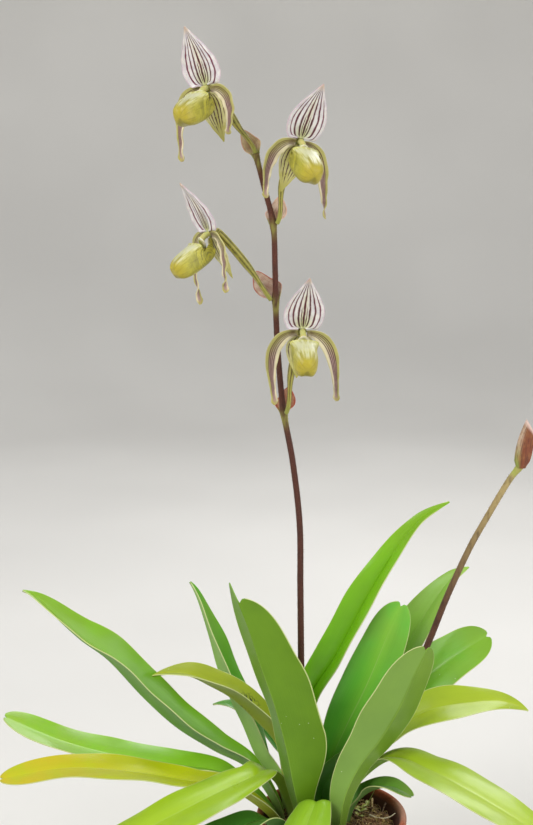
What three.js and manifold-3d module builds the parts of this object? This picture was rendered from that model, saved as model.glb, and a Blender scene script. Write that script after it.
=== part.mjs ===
// A potted slipper orchid: a clay pot of bark mix, three tufts of strap leaves, a flowering stem
// with four striped flowers, and a second stem that ends in a bud sheath.
// Millimetres, +Z up. The pot stands on Z = 0, its axis is the Z axis, and the flowers face -Y.
import * as THREE from "three";
import { mergeVertices } from "three/addons/utils/BufferGeometryUtils.js";
import Module from "manifold-3d";

// Clay pot
const POT_HEIGHT = 140;
const RIM_RADIUS = 75;
const RIM_BAND_HEIGHT = 26;
const RIM_STEP = 4;
const POT_BASE_RADIUS = 50;
const POT_WALL = 6.5;
const POT_FLOOR = 9;
const LIP_ROUND = 2;
const POT_SIDES = 32;

// Potting mix
const MIX_TOP = 120;
const MIX_MOUND = 3;
const MIX_RINGS = 6;
const HOLE_FLOOR = 112;
const HOLE_SIDES = 8;
const CHIP_COUNT = 26;
const CHIP_SIZE = [15, 8, 4.5];
const CHIP_RISE = 0.4;
const MIX_LUMP = 0.9;
const LEAF_HOLE_RADIUS = 10.5;
const LEAF_HOLE_OFFSET = 2.4;
const STEM_HOLE_EASE = 1.8;
const SEATING_GAP = 0.3;
const FOOT_LIFT = 0.9;

// Leaves
const LEAF_STEPS = 12;
const LEAF_STRIPS = 4;
const LEAF_FOOT_THICKNESS = 1.3;
const LEAF_THICKNESS = 1.7;
const LEAF_EDGE_THICKNESS = 1.1;
const LEAF_FOOT_WIDTH = 17;
const LEAF_TIP_TAPER = 0.24;
const LEAF_NOTCH = 3.5;
const LEAF_ROW_CROWDING = 1.35;

// Stems
const STEM_SIDES = 8;
const STEM_RADIUS = 3.4;
const NODE_SWELL = 0.9;
const NODE_SPREAD = 7;

// Flowers, in a frame where the flower faces -Y and its hooded sepal stands along +Z
const SEPAL_THICKNESS = 0.9;
const DORSAL = { length: 53, width: 38, foot: [0, 2.2, 3.2], lean: 14, bow: -3, ruffle: 2.2 };
const SYNSEPAL = { length: 46, width: 27, foot: [0, 3.8, -4.7], lean: 9, bow: -1, ruffle: 0.8 };
const PETAL_WIDTH = 12.5;
const PETAL_THICKNESS = 0.9;
const PETAL_FOOT = [4.4, 2.1, -2];
const PETAL_WAVE = 1.1;
const POUCH_BACK = [0, 1.7, -10.8];
const POUCH_TOE = [0, -47, -19.5];
const POUCH_HALF_WIDTH = 11.2;
const POUCH_HALF_DEPTH = 12.7;
const POUCH_WALL = 1;
const POUCH_FLARE = 4;
const POUCH_BLUNTNESS = 3;
const POUCH_SQUARENESS = 0.75;
const POUCH_RIM = [[0.03, 0], [0.03, 34], [0.05, 70], [0.11, 110], [0.2, 98], [0.28, 66], [0.32, 104],
  [0.31, 138], [0.35, 160], [0.36, 180]];
const POUCH_STRAP = [[0, 1.6, -4.4], [0, 1.8, -9], [0, -0.9, -19.6]];
const POUCH_STRAP_RADIUS = 1.5;
const COLUMN_RADIUS = 2.7;
const SHIELD_SIZE = [5, 1.8, 6.4];
const SHIELD_PLACE = [0, -8, -6.2];
const RECEPTACLE_RADIUS = 4;
const OVARY_RADIUS = 3.8;
const PEDICEL_RADIUS = 2.1;
const OVARY_STEPS = 15;
const OVARY_SEAT = [0, 3.05, 0];
const OVARY_NECK = [0, 6.5, -0.5];
const OVARY_SHOULDER = [0, 12.5, -2.4];
const OVARY_KNEE_DEPTH = 17.5;
const BRACT_DROP = 2;
const BRACT_CROWN = 4;
const BRACT_WRAP = 55;
const BRACT_CLASP = 4.5;
const BRACT_DEPTH = 3.6;
const BRACT_SET_BACK = 5;
const BRACT_THICKNESS = 0.8;

// Bud sheath
const BUD_SHEATH_LENGTH = 48;
const BUD_SHEATH_HALF_WIDTH = 9.5;
const BUD_SHEATH_HALF_DEPTH = 5;
const BUD_SHEATH_LEAN = 9;
const BUD_SHEATH_GRIP = 2;

// Colours seen in daylight
const COLOURS = {
  clay: 0xb5583f,
  bark: 0x4a3524,
  deepGreen: 0x3f5c1f,
  midGreen: 0x5c7a2a,
  paleGreen: 0x8a9a3c,
  stem: 0x4f2c20,
  dorsal: 0xcdb9ae,
  synsepal: 0xa9a77c,
  petal: 0x86643c,
  pouch: 0xb3b23f,
  column: 0xcdd3a0,
  ovary: 0x8f8f4a,
  bract: 0xc9a184,
  bud: 0xa0783c,
};

// Each leaf: foot of its keel on the mix, points that its keel runs through, the way its upper face
// looks at foot, middle and tip, its widest width, and its fold from flat in degrees at the same places.
// Shoulder is where it is widest, and tip is the length in which it closes. A leaf with a hook ends in a
// point that bends down, and the others end bluntly with a notch. Arch lowers the margins, slim narrows
// one half, and flap lengthens that half beside the notch.
const LEAVES = {
  leaf_left_long: {
    foot: [-51, 14],
    through: [[-80, 18, 175], [-119, 20, 198], [-155, 18, 223], [-187, 16, 255], [-221, 10, 297],
      [-249, 6, 321], [-297, -4, 375]],
    faces: [[1, 0, 0], [0.64, -0.17, 0.74], [0.7, -0.2, 0.7]],
    width: 54, fold: [66, 66, 34], shoulder: 0.5, tip: 84, hook: 5, colour: "midGreen",
  },
  leaf_left_upright: {
    foot: [-47, 34],
    through: [[-51, 37, 146], [-73, 48, 174], [-89, 55, 210], [-100, 60, 232], [-114, 66, 265],
      [-122, 71, 294], [-130, 76, 321], [-140, 80, 355]],
    faces: [[0.95, 0.3, 0], [0.95, -0.1, 0.2], [0.93, -0.25, 0.3]],
    width: 52, fold: [64, 50, 38], shoulder: 0.45, tip: 100, hook: 4, colour: "deepGreen",
  },
  leaf_centre_keel: {
    foot: [-28, -23],
    through: [[-40, -24, 190], [-46, -24, 222], [-57, -26, 265], [-70, -28, 305], [-80, -29, 338],
      [-92, -30, 371]],
    faces: [[0.2, 1, 0], [0.62, 0.76, 0.15], [0.6, 0.8, 0.1]],
    width: 82, fold: [62, 40, 28], shoulder: 0.45, tip: 60, slim: 0.7, flap: 18, colour: "midGreen",
  },
  leaf_left_arching: {
    foot: [-43, 22],
    through: [[-50, 30, 180], [-56, 31, 202], [-77, 30, 227], [-99, 26, 250], [-120, 21, 265],
      [-144, 17, 278], [-178, 13, 281]],
    faces: [[1, 0, 0], [0.6, 0, 0.8], [0.1, -0.1, 1]],
    width: 46, fold: [66, 60, 28], shoulder: 0.5, tip: 56, hook: 3, colour: "paleGreen",
  },
  leaf_left_inner: {
    foot: [-30, 48],
    through: [[-33, 53, 146], [-51, 75, 170], [-80, 91, 198], [-101, 89, 215], [-121, 90, 219]],
    faces: [[0.9, -0.3, 0], [0.5, -0.2, 0.8], [0.2, -0.2, 1]],
    width: 30, fold: [64, 38, 24], shoulder: 0.58, tip: 50, hook: 3, colour: "deepGreen",
  },
  leaf_left_twisted: {
    foot: [-56, 2],
    through: [[-105, -2, 179], [-159, -4, 192], [-217, -6, 203], [-268, -8, 219], [-322, -10, 245]],
    faces: [[1, 0, 0], [0.1, -0.1, 1], [0.3, -0.3, 0.9]],
    width: 44, fold: [66, 24, 14], shoulder: 0.58, tip: 34, colour: "midGreen",
  },
  leaf_left_low: {
    foot: [-51, -9],
    through: [[-96, -28, 178], [-129, -37, 188], [-192, -49, 205], [-253, -57, 213], [-317, -63, 205]],
    faces: [[0.9, 0.4, 0], [0.05, -0.1, 1], [-0.1, -0.3, 1]],
    width: 42, fold: [66, 18, 12], shoulder: 0.58, tip: 34, colour: "paleGreen",
  },
  leaf_front_left: {
    foot: [-38, -5],
    through: [[-50, 1, 162], [-67, -9, 187], [-76, -38, 196], [-103, -63, 195], [-150, -99, 187],
      [-210, -134, 170], [-256, -156, 150]],
    faces: [[0.6, 0.8, 0], [-0.1, -0.2, 1], [-0.4, -0.3, 1]],
    width: 56, fold: [64, 20, 12], shoulder: 0.58, tip: 40, arch: 0.2, colour: "paleGreen",
  },
  leaf_front_left_under: {
    foot: [-41, -33],
    through: [[-67, -58, 159], [-99, -86, 163], [-137, -114, 152], [-176, -140, 126]],
    faces: [[0.4, 0.9, 0], [-0.1, -0.2, 1], [-0.4, -0.3, 1]],
    width: 40, fold: [64, 20, 12], shoulder: 0.58, tip: 34, colour: "deepGreen",
  },
  leaf_front: {
    foot: [-14, -21],
    through: [[-16, -34, 166], [-22, -54, 165], [-32, -82, 154], [-43, -116, 136], [-51, -146, 108]],
    faces: [[0, 1, 0], [0, -0.1, 1], [-0.1, -0.7, 0.8]],
    width: 50, fold: [64, 26, 12], shoulder: 0.6, tip: 34, arch: 0.45, colour: "paleGreen",
  },
  leaf_back_tall: {
    foot: [-14, 34],
    through: [[-22, 40, 236], [6, 48, 287], [52, 60, 371], [88, 68, 421], [119, 72, 443]],
    faces: [[0, -1, 0], [-0.6, -0.75, 0.4], [-0.5, -0.75, 0.45]],
    width: 44, fold: [66, 54, 44], shoulder: 0.5, tip: 150, hook: 5, colour: "midGreen",
  },
  leaf_centre_broad: {
    foot: [-4, 34],
    through: [[-4, 34, 164], [12, 36, 206], [38, 42, 260], [62, 48, 319], [72, 50, 341]],
    faces: [[0.4, -0.9, 0], [-0.2, -1, 0.2], [-0.2, -0.9, 0.4]],
    width: 54, fold: [64, 22, 12], shoulder: 0.58, tip: 40, colour: "deepGreen",
  },
  leaf_right_keel: {
    foot: [5, -35],
    through: [[10, -36, 170], [24, -31, 202], [45, -29, 231], [62, -30, 262], [76, -30, 296],
      [88, -31, 324]],
    faces: [[0, 1, 0], [-0.5, 0.86, 0.1], [-0.5, 0.86, 0.1]],
    width: 70, fold: [64, 26, 18], shoulder: 0.75, tip: 50, colour: "midGreen",
  },
  leaf_back_right: {
    foot: [6, 59],
    through: [[30, 76, 180], [56, 90, 226], [80, 98, 271], [107, 106, 317], [130, 112, 348],
      [147, 114, 361]],
    faces: [[-0.4, -0.9, 0], [-0.6, -0.7, 0.5], [-0.5, -0.7, 0.6]],
    width: 52, fold: [66, 42, 26], shoulder: 0.5, tip: 90, hook: 4, colour: "deepGreen",
  },
  leaf_right_broad: {
    foot: [15, 44],
    through: [[36, 54, 178], [64, 57, 227], [104, 60, 263], [138, 65, 286], [164, 70, 300]],
    faces: [[-0.9, -0.3, 0], [-0.35, -0.8, 0.6], [-0.3, -0.8, 0.6]],
    width: 58, fold: [66, 18, 10], shoulder: 0.58, tip: 34, colour: "midGreen",
  },
  leaf_right_low: {
    foot: [16, 20],
    through: [[37, 22, 182], [66, 17, 222], [98, 13, 242], [138, 13, 250], [167, 12, 252],
      [196, 10, 246]],
    faces: [[-1, 0, 0], [-0.2, -0.4, 0.9], [0.1, -0.4, 0.9]],
    width: 48, fold: [66, 20, 12], shoulder: 0.75, tip: 76, hook: 4, colour: "paleGreen",
  },
  leaf_front_right: {
    foot: [12, -15],
    through: [[17, -15, 160], [34, -1, 180], [61, 0, 197], [90, -35, 202], [131, -84, 199],
      [175, -122, 185], [212, -150, 166]],
    faces: [[-0.6, 0.8, 0], [0, -0.1, 1], [0.3, -0.3, 1]],
    width: 54, fold: [64, 22, 12], shoulder: 0.62, tip: 40, arch: 0.15, colour: "paleGreen",
  },
  leaf_front_right_under: {
    foot: [16, 2],
    through: [[22, 2, 144], [37, 0, 162], [57, -13, 173], [77, -30, 171]],
    faces: [[-1, 0.1, 0], [0, -0.1, 1], [0.3, -0.3, 1]],
    width: 28, fold: [66, 44, 16], shoulder: 0.75, tip: 34, colour: "deepGreen",
  },
  leaf_heart_left: {
    foot: [-9, 12],
    through: [[-8, 13, 158], [8, 16, 181], [24, 18, 198]],
    faces: [[0.8, -0.5, 0], [-0.3, -0.8, 0.5], [-0.3, -0.8, 0.5]],
    width: 26, fold: [64, 36, 20], shoulder: 0.58, tip: 34, colour: "deepGreen",
  },
  leaf_heart_right: {
    foot: [-8, 52],
    through: [[-6, 51, 148], [0, 50, 165], [8, 50, 178]],
    faces: [[0.5, -0.8, 0], [-0.2, -0.7, 0.7], [-0.2, -0.7, 0.7]],
    width: 24, fold: [64, 38, 22], shoulder: 0.58, tip: 34, colour: "deepGreen",
  },
};

const FLOWERING_STEM = {
  foot: [-28, 8],
  through: [[-31, 8, 303], [-32, 7, 373], [-33, 6, 436], [-40, 5, 498], [-49, 4, 548], [-54, 4, 600],
    [-56, 3, 636], [-57, 3, 681], [-59, 2, 724], [-67, 2, 756], [-75, 1, 787]],
  tipRadius: 2.5,
};
const BUDDING_STEM = {
  foot: [8, 30],
  through: [[11, 31, 138], [26, 33, 166], [56, 37, 210], [96, 38, 299], [116, 40, 352], [138, 40, 404],
    [152, 40, 431], [174, 40, 471], [185, 40, 486]],
  tipRadius: 3,
};

// Each flower: its centre, the joint on the stem that carries it, its turn to the side, nod and roll in
// degrees, its size against the largest, whether it ends the stem, and the shape of its petals.
const FLOWERS = {
  top_left: {
    centre: [-120, -20, 844], joint: [-75, 1, 787], turn: -32, nod: 10, roll: -7, size: 1,
    terminal: true, bract: { length: 24, halfWidth: 9 },
    left: { length: 80, rise: 20, curl: -81, bend: 2.9, sweep: 0 },
    right: { length: 52, rise: 16, curl: -112, bend: 2.5, sweep: 0 },
  },
  top_right: {
    centre: [-34, -28, 797], joint: [-59, 2, 724], turn: 21, nod: 15, roll: 11, size: 1,
    terminal: false, bract: { length: 24, halfWidth: 10 },
    left: { length: 66, rise: 6, curl: -106, bend: 2.8, sweep: 0.1 },
    right: { length: 82, rise: 9, curl: -68, bend: 4.8, sweep: 0.1 },
  },
  mid_left: {
    centre: [-119, -22, 715], joint: [-56, 3, 653], turn: -58, nod: 17, roll: -4, size: 0.93, droop: 5,
    terminal: false, bract: { length: 30, halfWidth: 12 },
    left: { length: 92, rise: 20, curl: -84, bend: 3, sweep: -0.16 },
    right: { length: 68, rise: 16, curl: -104, bend: 3.2, sweep: -0.22 },
  },
  lower_front: {
    centre: [-32, -34, 627], joint: [-49, 4, 546], turn: 6, nod: 13, roll: 3, size: 1,
    terminal: false, bract: { length: 23, halfWidth: 10 },
    left: { length: 84, rise: 8, curl: -102, bend: 3.3, sweep: 0 },
    right: { length: 81, rise: 7, curl: -82, bend: 3.4, sweep: 0 },
  },
};

const UP = new THREE.Vector3(0, 0, 1);
const wasm = await Module();
wasm.setup();

const radians = THREE.MathUtils.degToRad;
const mix = THREE.MathUtils.lerp;
const ramp = THREE.MathUtils.smoothstep;
const vector = (values) => new THREE.Vector3(...values);

// Closed shape from points and triangles, turned so that its faces point out.
function closedShape(points, triangles) {
  const geometry = new THREE.BufferGeometry();
  const coordinates = points.flatMap((point) => point.toArray());
  geometry.setAttribute("position", new THREE.Float32BufferAttribute(coordinates, 3));
  let volume = 0;
  for (const [a, b, c] of triangles) {
    volume += points[a].dot(new THREE.Vector3().crossVectors(points[b], points[c]));
  }
  const ordered = volume > 0 ? triangles : triangles.map(([a, b, c]) => [a, c, b]);
  geometry.setIndex(ordered.flat());
  return geometry;
}

function toSolid(geometry) {
  const bare = geometry.index ? geometry.toNonIndexed() : geometry.clone();
  bare.deleteAttribute("normal");
  bare.deleteAttribute("uv");
  const merged = mergeVertices(bare, 1e-4);
  const vertProperties = merged.attributes.position.array;
  const triVerts = new Uint32Array(merged.index.array);
  return new wasm.Manifold(new wasm.Mesh({ numProp: 3, vertProperties, triVerts }));
}

function toGeometry(solid) {
  const mesh = solid.getMesh();
  const geometry = new THREE.BufferGeometry();
  geometry.setAttribute("position", new THREE.BufferAttribute(mesh.vertProperties, 3));
  geometry.setIndex(new THREE.BufferAttribute(mesh.triVerts, 1));
  return geometry;
}

// Smooth path that leaves its first point along a given direction, at equal steps of length.
function smoothPath(points, startDirection, steps, endDirection) {
  const last = points.length - 1;
  const headings = points.map((point, i) => {
    if (i === 0) return startDirection.clone().normalize();
    if (i === last && endDirection) return endDirection.clone().normalize();
    return points[Math.min(i + 1, last)].clone().sub(points[i - 1]).normalize();
  });
  const fine = [points[0]];
  for (let i = 0; i < last; i += 1) {
    const span = points[i].distanceTo(points[i + 1]);
    for (let k = 1; k <= 20; k += 1) {
      const t = k / 20;
      const startPull = t * (1 - t) * (1 - t) * span;
      const endPull = -t * t * (1 - t) * span;
      const blend = t * t * (3 - 2 * t);
      const point = points[i].clone().lerp(points[i + 1], blend);
      fine.push(point.addScaledVector(headings[i], startPull).addScaledVector(headings[i + 1], endPull));
    }
  }
  const lengths = [0];
  fine.slice(1).forEach((point, i) => lengths.push(lengths[i] + point.distanceTo(fine[i])));
  const total = lengths[lengths.length - 1];
  const path = [];
  let segment = 0;
  for (let k = 0; k <= steps; k += 1) {
    const target = (total * k) / steps;
    while (segment < fine.length - 2 && lengths[segment + 1] < target) segment += 1;
    const share = (target - lengths[segment]) / (lengths[segment + 1] - lengths[segment]);
    path.push(fine[segment].clone().lerp(fine[segment + 1], share));
  }
  return { path, total };
}

function tangentAt(path, i) {
  const ahead = path[Math.min(i + 1, path.length - 1)];
  return ahead.clone().sub(path[Math.max(i - 1, 0)]).normalize();
}

// Blade of even strips: a grid of points thickened along its own normals. Both faces are split alike.
function blade(steps, strips, pointAt, halfThicknessAt) {
  const grid = [];
  for (let i = 0; i <= steps; i += 1) {
    const row = [];
    for (let j = 0; j <= strips; j += 1) row.push(pointAt(i / steps, (2 * j) / strips - 1));
    grid.push(row);
  }
  const points = [];
  const place = (side, i, j) => (side * (steps + 1) + i) * (strips + 1) + j;
  for (const side of [1, -1]) {
    for (let i = 0; i <= steps; i += 1) {
      for (let j = 0; j <= strips; j += 1) {
        const along = grid[Math.min(i + 1, steps)][j].clone().sub(grid[Math.max(i - 1, 0)][j]);
        const across = grid[i][Math.min(j + 1, strips)].clone().sub(grid[i][Math.max(j - 1, 0)]);
        const normal = along.cross(across).normalize();
        const reach = side * halfThicknessAt(i / steps, (2 * j) / strips - 1);
        points.push(grid[i][j].clone().addScaledVector(normal, reach));
      }
    }
  }
  const triangles = [];
  for (let i = 0; i < steps; i += 1) {
    for (let j = 0; j < strips; j += 1) {
      const top = [place(0, i, j), place(0, i + 1, j), place(0, i + 1, j + 1), place(0, i, j + 1)];
      const under = [place(1, i, j), place(1, i + 1, j), place(1, i + 1, j + 1), place(1, i, j + 1)];
      triangles.push([top[0], top[1], top[2]], [top[0], top[2], top[3]]);
      triangles.push([under[0], under[2], under[1]], [under[0], under[3], under[2]]);
    }
  }
  const border = [];
  for (let i = 0; i < steps; i += 1) border.push([i, 0, i + 1, 0]);
  for (let j = 0; j < strips; j += 1) border.push([steps, j, steps, j + 1]);
  for (let i = steps; i > 0; i -= 1) border.push([i, strips, i - 1, strips]);
  for (let j = strips; j > 0; j -= 1) border.push([0, j, 0, j - 1]);
  for (const [i, j, k, l] of border) {
    triangles.push([place(0, i, j), place(1, i, j), place(1, k, l)]);
    triangles.push([place(0, i, j), place(1, k, l), place(0, k, l)]);
  }
  return closedShape(points, triangles);
}

// Round rod along a path, with a radius for each step and flat ends.
function rod(path, radiusAt, sides) {
  const points = [];
  let side = new THREE.Vector3(1, 0, 0);
  path.forEach((centre, i) => {
    const tangent = tangentAt(path, i);
    side = side.addScaledVector(tangent, -side.dot(tangent)).normalize();
    const other = new THREE.Vector3().crossVectors(tangent, side);
    const radius = radiusAt(i / (path.length - 1));
    for (let k = 0; k < sides; k += 1) {
      const angle = (2 * Math.PI * k) / sides;
      const offset = side.clone().multiplyScalar(Math.cos(angle)).addScaledVector(other, Math.sin(angle));
      points.push(centre.clone().addScaledVector(offset, radius));
    }
  });
  const triangles = [];
  for (let i = 0; i < path.length - 1; i += 1) {
    for (let k = 0; k < sides; k += 1) {
      const a = i * sides + k;
      const b = i * sides + ((k + 1) % sides);
      triangles.push([a, b, b + sides], [a, b + sides, a + sides]);
    }
  }
  const end = (path.length - 1) * sides;
  for (let k = 1; k < sides - 1; k += 1) {
    triangles.push([0, k + 1, k], [end, end + k, end + k + 1]);
  }
  return closedShape(points, triangles);
}

const root = new THREE.Group();

function addPiece(name, geometry, colour, roughness) {
  const material = new THREE.MeshStandardMaterial({ color: colour, roughness, metalness: 0 });
  const mesh = new THREE.Mesh(geometry, material);
  mesh.name = name;
  root.add(mesh);
}

// Value at foot, middle and tip, eased along the leaf.
function alongLeaf([foot, middle, tip], u) {
  return u < 0.5 ? mix(foot, middle, ramp(u, 0.02, 0.5)) : mix(middle, tip, ramp(u, 0.5, 1));
}

function buildLeaf(leaf) {
  const { hook = 0, arch = 0, slim = 1, flap = 0 } = leaf;
  const foot = new THREE.Vector3(...leaf.foot, HOLE_FLOOR + FOOT_LIFT);
  const { path, total } = smoothPath([foot, ...leaf.through.map(vector)], UP, 60);
  const at = (u) => {
    const place = THREE.MathUtils.clamp(u, 0, 1) * 60;
    const i = Math.min(Math.floor(place), 59);
    const tangent = tangentAt(path, i).lerp(tangentAt(path, i + 1), place - i).normalize();
    const point = path[i].clone().lerp(path[i + 1], place - i);
    const face = new THREE.Vector3(...[0, 1, 2].map((k) => alongLeaf(leaf.faces.map((f) => f[k]), u)));
    face.addScaledVector(tangent, -face.dot(tangent)).normalize();
    return { point, tangent, face, side: new THREE.Vector3().crossVectors(tangent, face) };
  };
  const shareAt = (row) => 1 - (1 - row) ** LEAF_ROW_CROWDING;
  const pointAt = (row, v) => {
    const u = shareAt(row);
    const tip = Math.max(0, (u - 1) * total + leaf.tip) / leaf.tip;
    const notch = (hook ? 0 : LEAF_NOTCH) * Math.max(0, 1 - Math.abs(v) / 0.5) * tip * tip;
    const here = at(u - notch / total);
    const broadening = mix(LEAF_FOOT_WIDTH, leaf.width, ramp(u, 0.02, leaf.shoulder));
    const belly = broadening * (1 - LEAF_TIP_TAPER * ramp(u, 0.62, 0.95));
    const closing = hook ? (1 - 0.985 * tip ** 1.6) ** 0.8 : Math.sqrt(1 - 0.94 * tip ** 2.4);
    const halfWidth = 0.5 * belly * closing * (v > 0 ? slim : 1);
    const fold = radians(alongLeaf(leaf.fold, u)) * (1 - 0.25 * Math.abs(v));
    const reach = halfWidth * v * Math.cos(fold);
    const rise = halfWidth * (Math.abs(v) * Math.sin(fold) - arch * v * v) - hook * tip ** 8;
    const longer = flap * Math.exp(-(((v - 0.8) / 0.28) ** 2)) * tip ** 3;
    return here.point.addScaledVector(here.side, reach).addScaledVector(here.face, rise)
      .addScaledVector(here.tangent, longer);
  };
  const halfThicknessAt = (row, v) => {
    const u = shareAt(row);
    const middle = mix(LEAF_FOOT_THICKNESS, LEAF_THICKNESS, ramp(u, 0, 0.4));
    const keel = v === 0 ? 1 / Math.cos(radians(alongLeaf(leaf.fold, u))) : 1;
    return 0.5 * mix(middle, LEAF_EDGE_THICKNESS, Math.abs(v)) * keel;
  };
  return blade(LEAF_STEPS, LEAF_STRIPS, pointAt, halfThicknessAt);
}

for (const [name, leaf] of Object.entries(LEAVES)) {
  addPiece(name, buildLeaf(leaf), COLOURS[leaf.colour], 0.35);
}

// Rods with a small swelling at each joint of the stem.
function buildStem(stem, joints) {
  const foot = new THREE.Vector3(...stem.foot, HOLE_FLOOR + FOOT_LIFT);
  const steps = 34;
  const { path } = smoothPath([foot, ...stem.through.map(vector)], UP, steps);
  const radiusAt = (u) => {
    const centre = path[Math.round(u * steps)];
    const nearest = Math.min(...joints.map((joint) => centre.distanceTo(vector(joint))));
    const swell = NODE_SWELL * Math.exp(-((nearest / NODE_SPREAD) ** 2));
    return mix(STEM_RADIUS, stem.tipRadius, u) + swell;
  };
  return rod(path, radiusAt, STEM_SIDES);
}

const stemJoints = Object.values(FLOWERS).map((flower) => flower.joint);
addPiece("flowering_stem", buildStem(FLOWERING_STEM, stemJoints), COLOURS.stem, 0.7);
addPiece("budding_stem", buildStem(BUDDING_STEM, [BUDDING_STEM.through.at(-1)]), COLOURS.stem, 0.7);

// Sepal: an egg-shaped blade that rises from its foot, leans, bows and ruffles near its foot.
function buildSepal(sepal, upward, steps, strips) {
  const pointAt = (u, v) => {
    const rise = mix(0.015, 0.985, u);
    const halfWidth = 0.5 * sepal.width * Math.sin(Math.PI * rise ** 0.55);
    const lean = sepal.lean * rise + sepal.bow * 4 * rise * (1 - rise);
    const ruffle = sepal.ruffle * Math.sin(2.5 * Math.PI * v) * Math.abs(v) * (1 - rise);
    const depth = (upward > 0 ? -lean : lean) + ruffle;
    return vector(sepal.foot).add(vector([halfWidth * v, depth, upward * sepal.length * (rise - 0.015)]));
  };
  return blade(steps, strips, pointAt, () => SEPAL_THICKNESS / 2);
}

// Petal: a narrow waved strap that leaves the flower sideways and curves down to hang.
function buildPetal(hand, petal) {
  const steps = 60;
  const path = [vector([PETAL_FOOT[0] * hand, PETAL_FOOT[1], PETAL_FOOT[2]])];
  for (let i = 0; i < steps; i += 1) {
    const s = (i + 0.5) / steps;
    const heading = radians(mix(petal.curl, petal.rise, (1 - s) ** petal.bend));
    const forward = petal.sweep * Math.sin(Math.PI * s);
    const step = vector([hand * Math.cos(heading), forward, Math.sin(heading)]).normalize();
    path.push(path[i].clone().addScaledVector(step, petal.length / steps));
  }
  const pointAt = (u, v) => {
    const i = Math.round(u * steps);
    const tangent = tangentAt(path, i);
    const face = new THREE.Vector3(0, -1, 0).addScaledVector(tangent, tangent.y).normalize();
    const side = new THREE.Vector3().crossVectors(tangent, face);
    const broadening = mix(0.5, 1, ramp(u, 0, 0.25)) * mix(1, 0.42, ramp(u, 0.35, 0.85));
    const taper = broadening * (1 - 0.5 * ramp(u, 0.92, 1));
    const edgeWave = Math.sin(9 * Math.PI * u + (v > 0 ? 0 : 1.6)) * ramp(u, 0.05, 0.3);
    const wave = PETAL_WAVE * Math.abs(v) * edgeWave;
    return path[i].clone().addScaledVector(side, 0.5 * PETAL_WIDTH * taper * v).addScaledVector(face, wave);
  };
  return blade(12, 2, pointAt, () => PETAL_THICKNESS / 2);
}

// Point of the pouch's rim, from under its back at 0 to the middle of its front lip at 1.
function pouchRim(h) {
  const i = Math.min(Math.floor(h * (POUCH_RIM.length - 1)), POUCH_RIM.length - 2);
  const share = h * (POUCH_RIM.length - 1) - i;
  return [0, 1].map((k) => mix(POUCH_RIM[i][k], POUCH_RIM[i + 1][k], share));
}

// Pouch: a thin bag whose rim has two side lobes, two notches and a flared front lip, with a strap that
// holds it to the flower's centre.
function buildPouch(droop) {
  const around = 16;
  const steps = 7;
  const back = vector(POUCH_BACK);
  const axis = vector(POUCH_TOE).sub(back);
  axis.z -= droop;
  const tangent = axis.clone().normalize();
  const side = new THREE.Vector3(1, 0, 0);
  const upward = new THREE.Vector3().crossVectors(side, tangent).negate();
  if (upward.z < 0) upward.negate();
  const points = [];
  for (const inset of [0, POUCH_WALL]) {
    for (let k = 0; k < around; k += 1) {
      const hand = k < around / 2 ? 1 : -1;
      const h = 1 - Math.abs(1 - (2 * k) / around);
      const [rimShare, rimAngle] = pouchRim(h);
      for (let i = 0; i < steps; i += 1) {
        const s = mix(rimShare, 0.985, i / steps);
        const angle = mix(rimAngle, 180 * h, ramp(i / steps, 0, 0.5));
        const bulge = (1 - Math.abs(2 * s - 1) ** POUCH_BLUNTNESS) ** (1 / POUCH_BLUNTNESS);
        const nearCorner = Math.exp(-(((angle - 132) / 26) ** 2));
        const flare = POUCH_FLARE * nearCorner * Math.exp(-(((s - 0.31) / 0.12) ** 2));
        const [sine, cosine] = [Math.sin(radians(angle)), Math.cos(radians(angle))];
        const wide = (POUCH_HALF_WIDTH * bulge - inset) * Math.abs(sine) ** POUCH_SQUARENESS + flare;
        const height = -Math.sign(cosine) * Math.abs(cosine) ** POUCH_SQUARENESS;
        const deep = (POUCH_HALF_DEPTH * bulge - inset) * height;
        const middle = sine < 1e-6 ? 0 : 1;
        const point = back.clone().addScaledVector(axis, s);
        points.push(point.addScaledVector(side, hand * wide * middle).addScaledVector(upward, deep));
      }
    }
    points.push(back.clone().addScaledVector(axis, 1).addScaledVector(tangent, -inset));
  }
  const sheet = around * steps + 1;
  const triangles = [];
  for (let k = 0; k < around; k += 1) {
    const a = k * steps;
    const b = ((k + 1) % around) * steps;
    for (let i = 0; i < steps - 1; i += 1) {
      const [inA, inB] = [sheet + a + i, sheet + b + i];
      triangles.push([a + i, b + i, b + i + 1], [a + i, b + i + 1, a + i + 1]);
      triangles.push([inA, inB + 1, inB], [inA, inA + 1, inB + 1]);
    }
    triangles.push([a + steps - 1, b + steps - 1, sheet - 1]);
    triangles.push([sheet + a + steps - 1, 2 * sheet - 1, sheet + b + steps - 1]);
    triangles.push([a, sheet + b, b], [a, sheet + a, sheet + b]);
  }
  const strap = rod(POUCH_STRAP.map(vector), () => POUCH_STRAP_RADIUS, 6);
  return toGeometry(toSolid(closedShape(points, triangles)).add(toSolid(strap)));
}

// Column: a short thick finger with a rounded shield hanging at its front.
function buildColumn() {
  const finger = rod([[0, 2.2, 0], [0, -3, -0.6], [0, -7.5, -3]].map(vector), () => COLUMN_RADIUS, 8);
  const shield = new THREE.SphereGeometry(1, 10, 7)
    .scale(...SHIELD_SIZE)
    .rotateX(radians(14))
    .translate(...SHIELD_PLACE);
  return toGeometry(toSolid(finger).add(toSolid(shield)));
}

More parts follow.
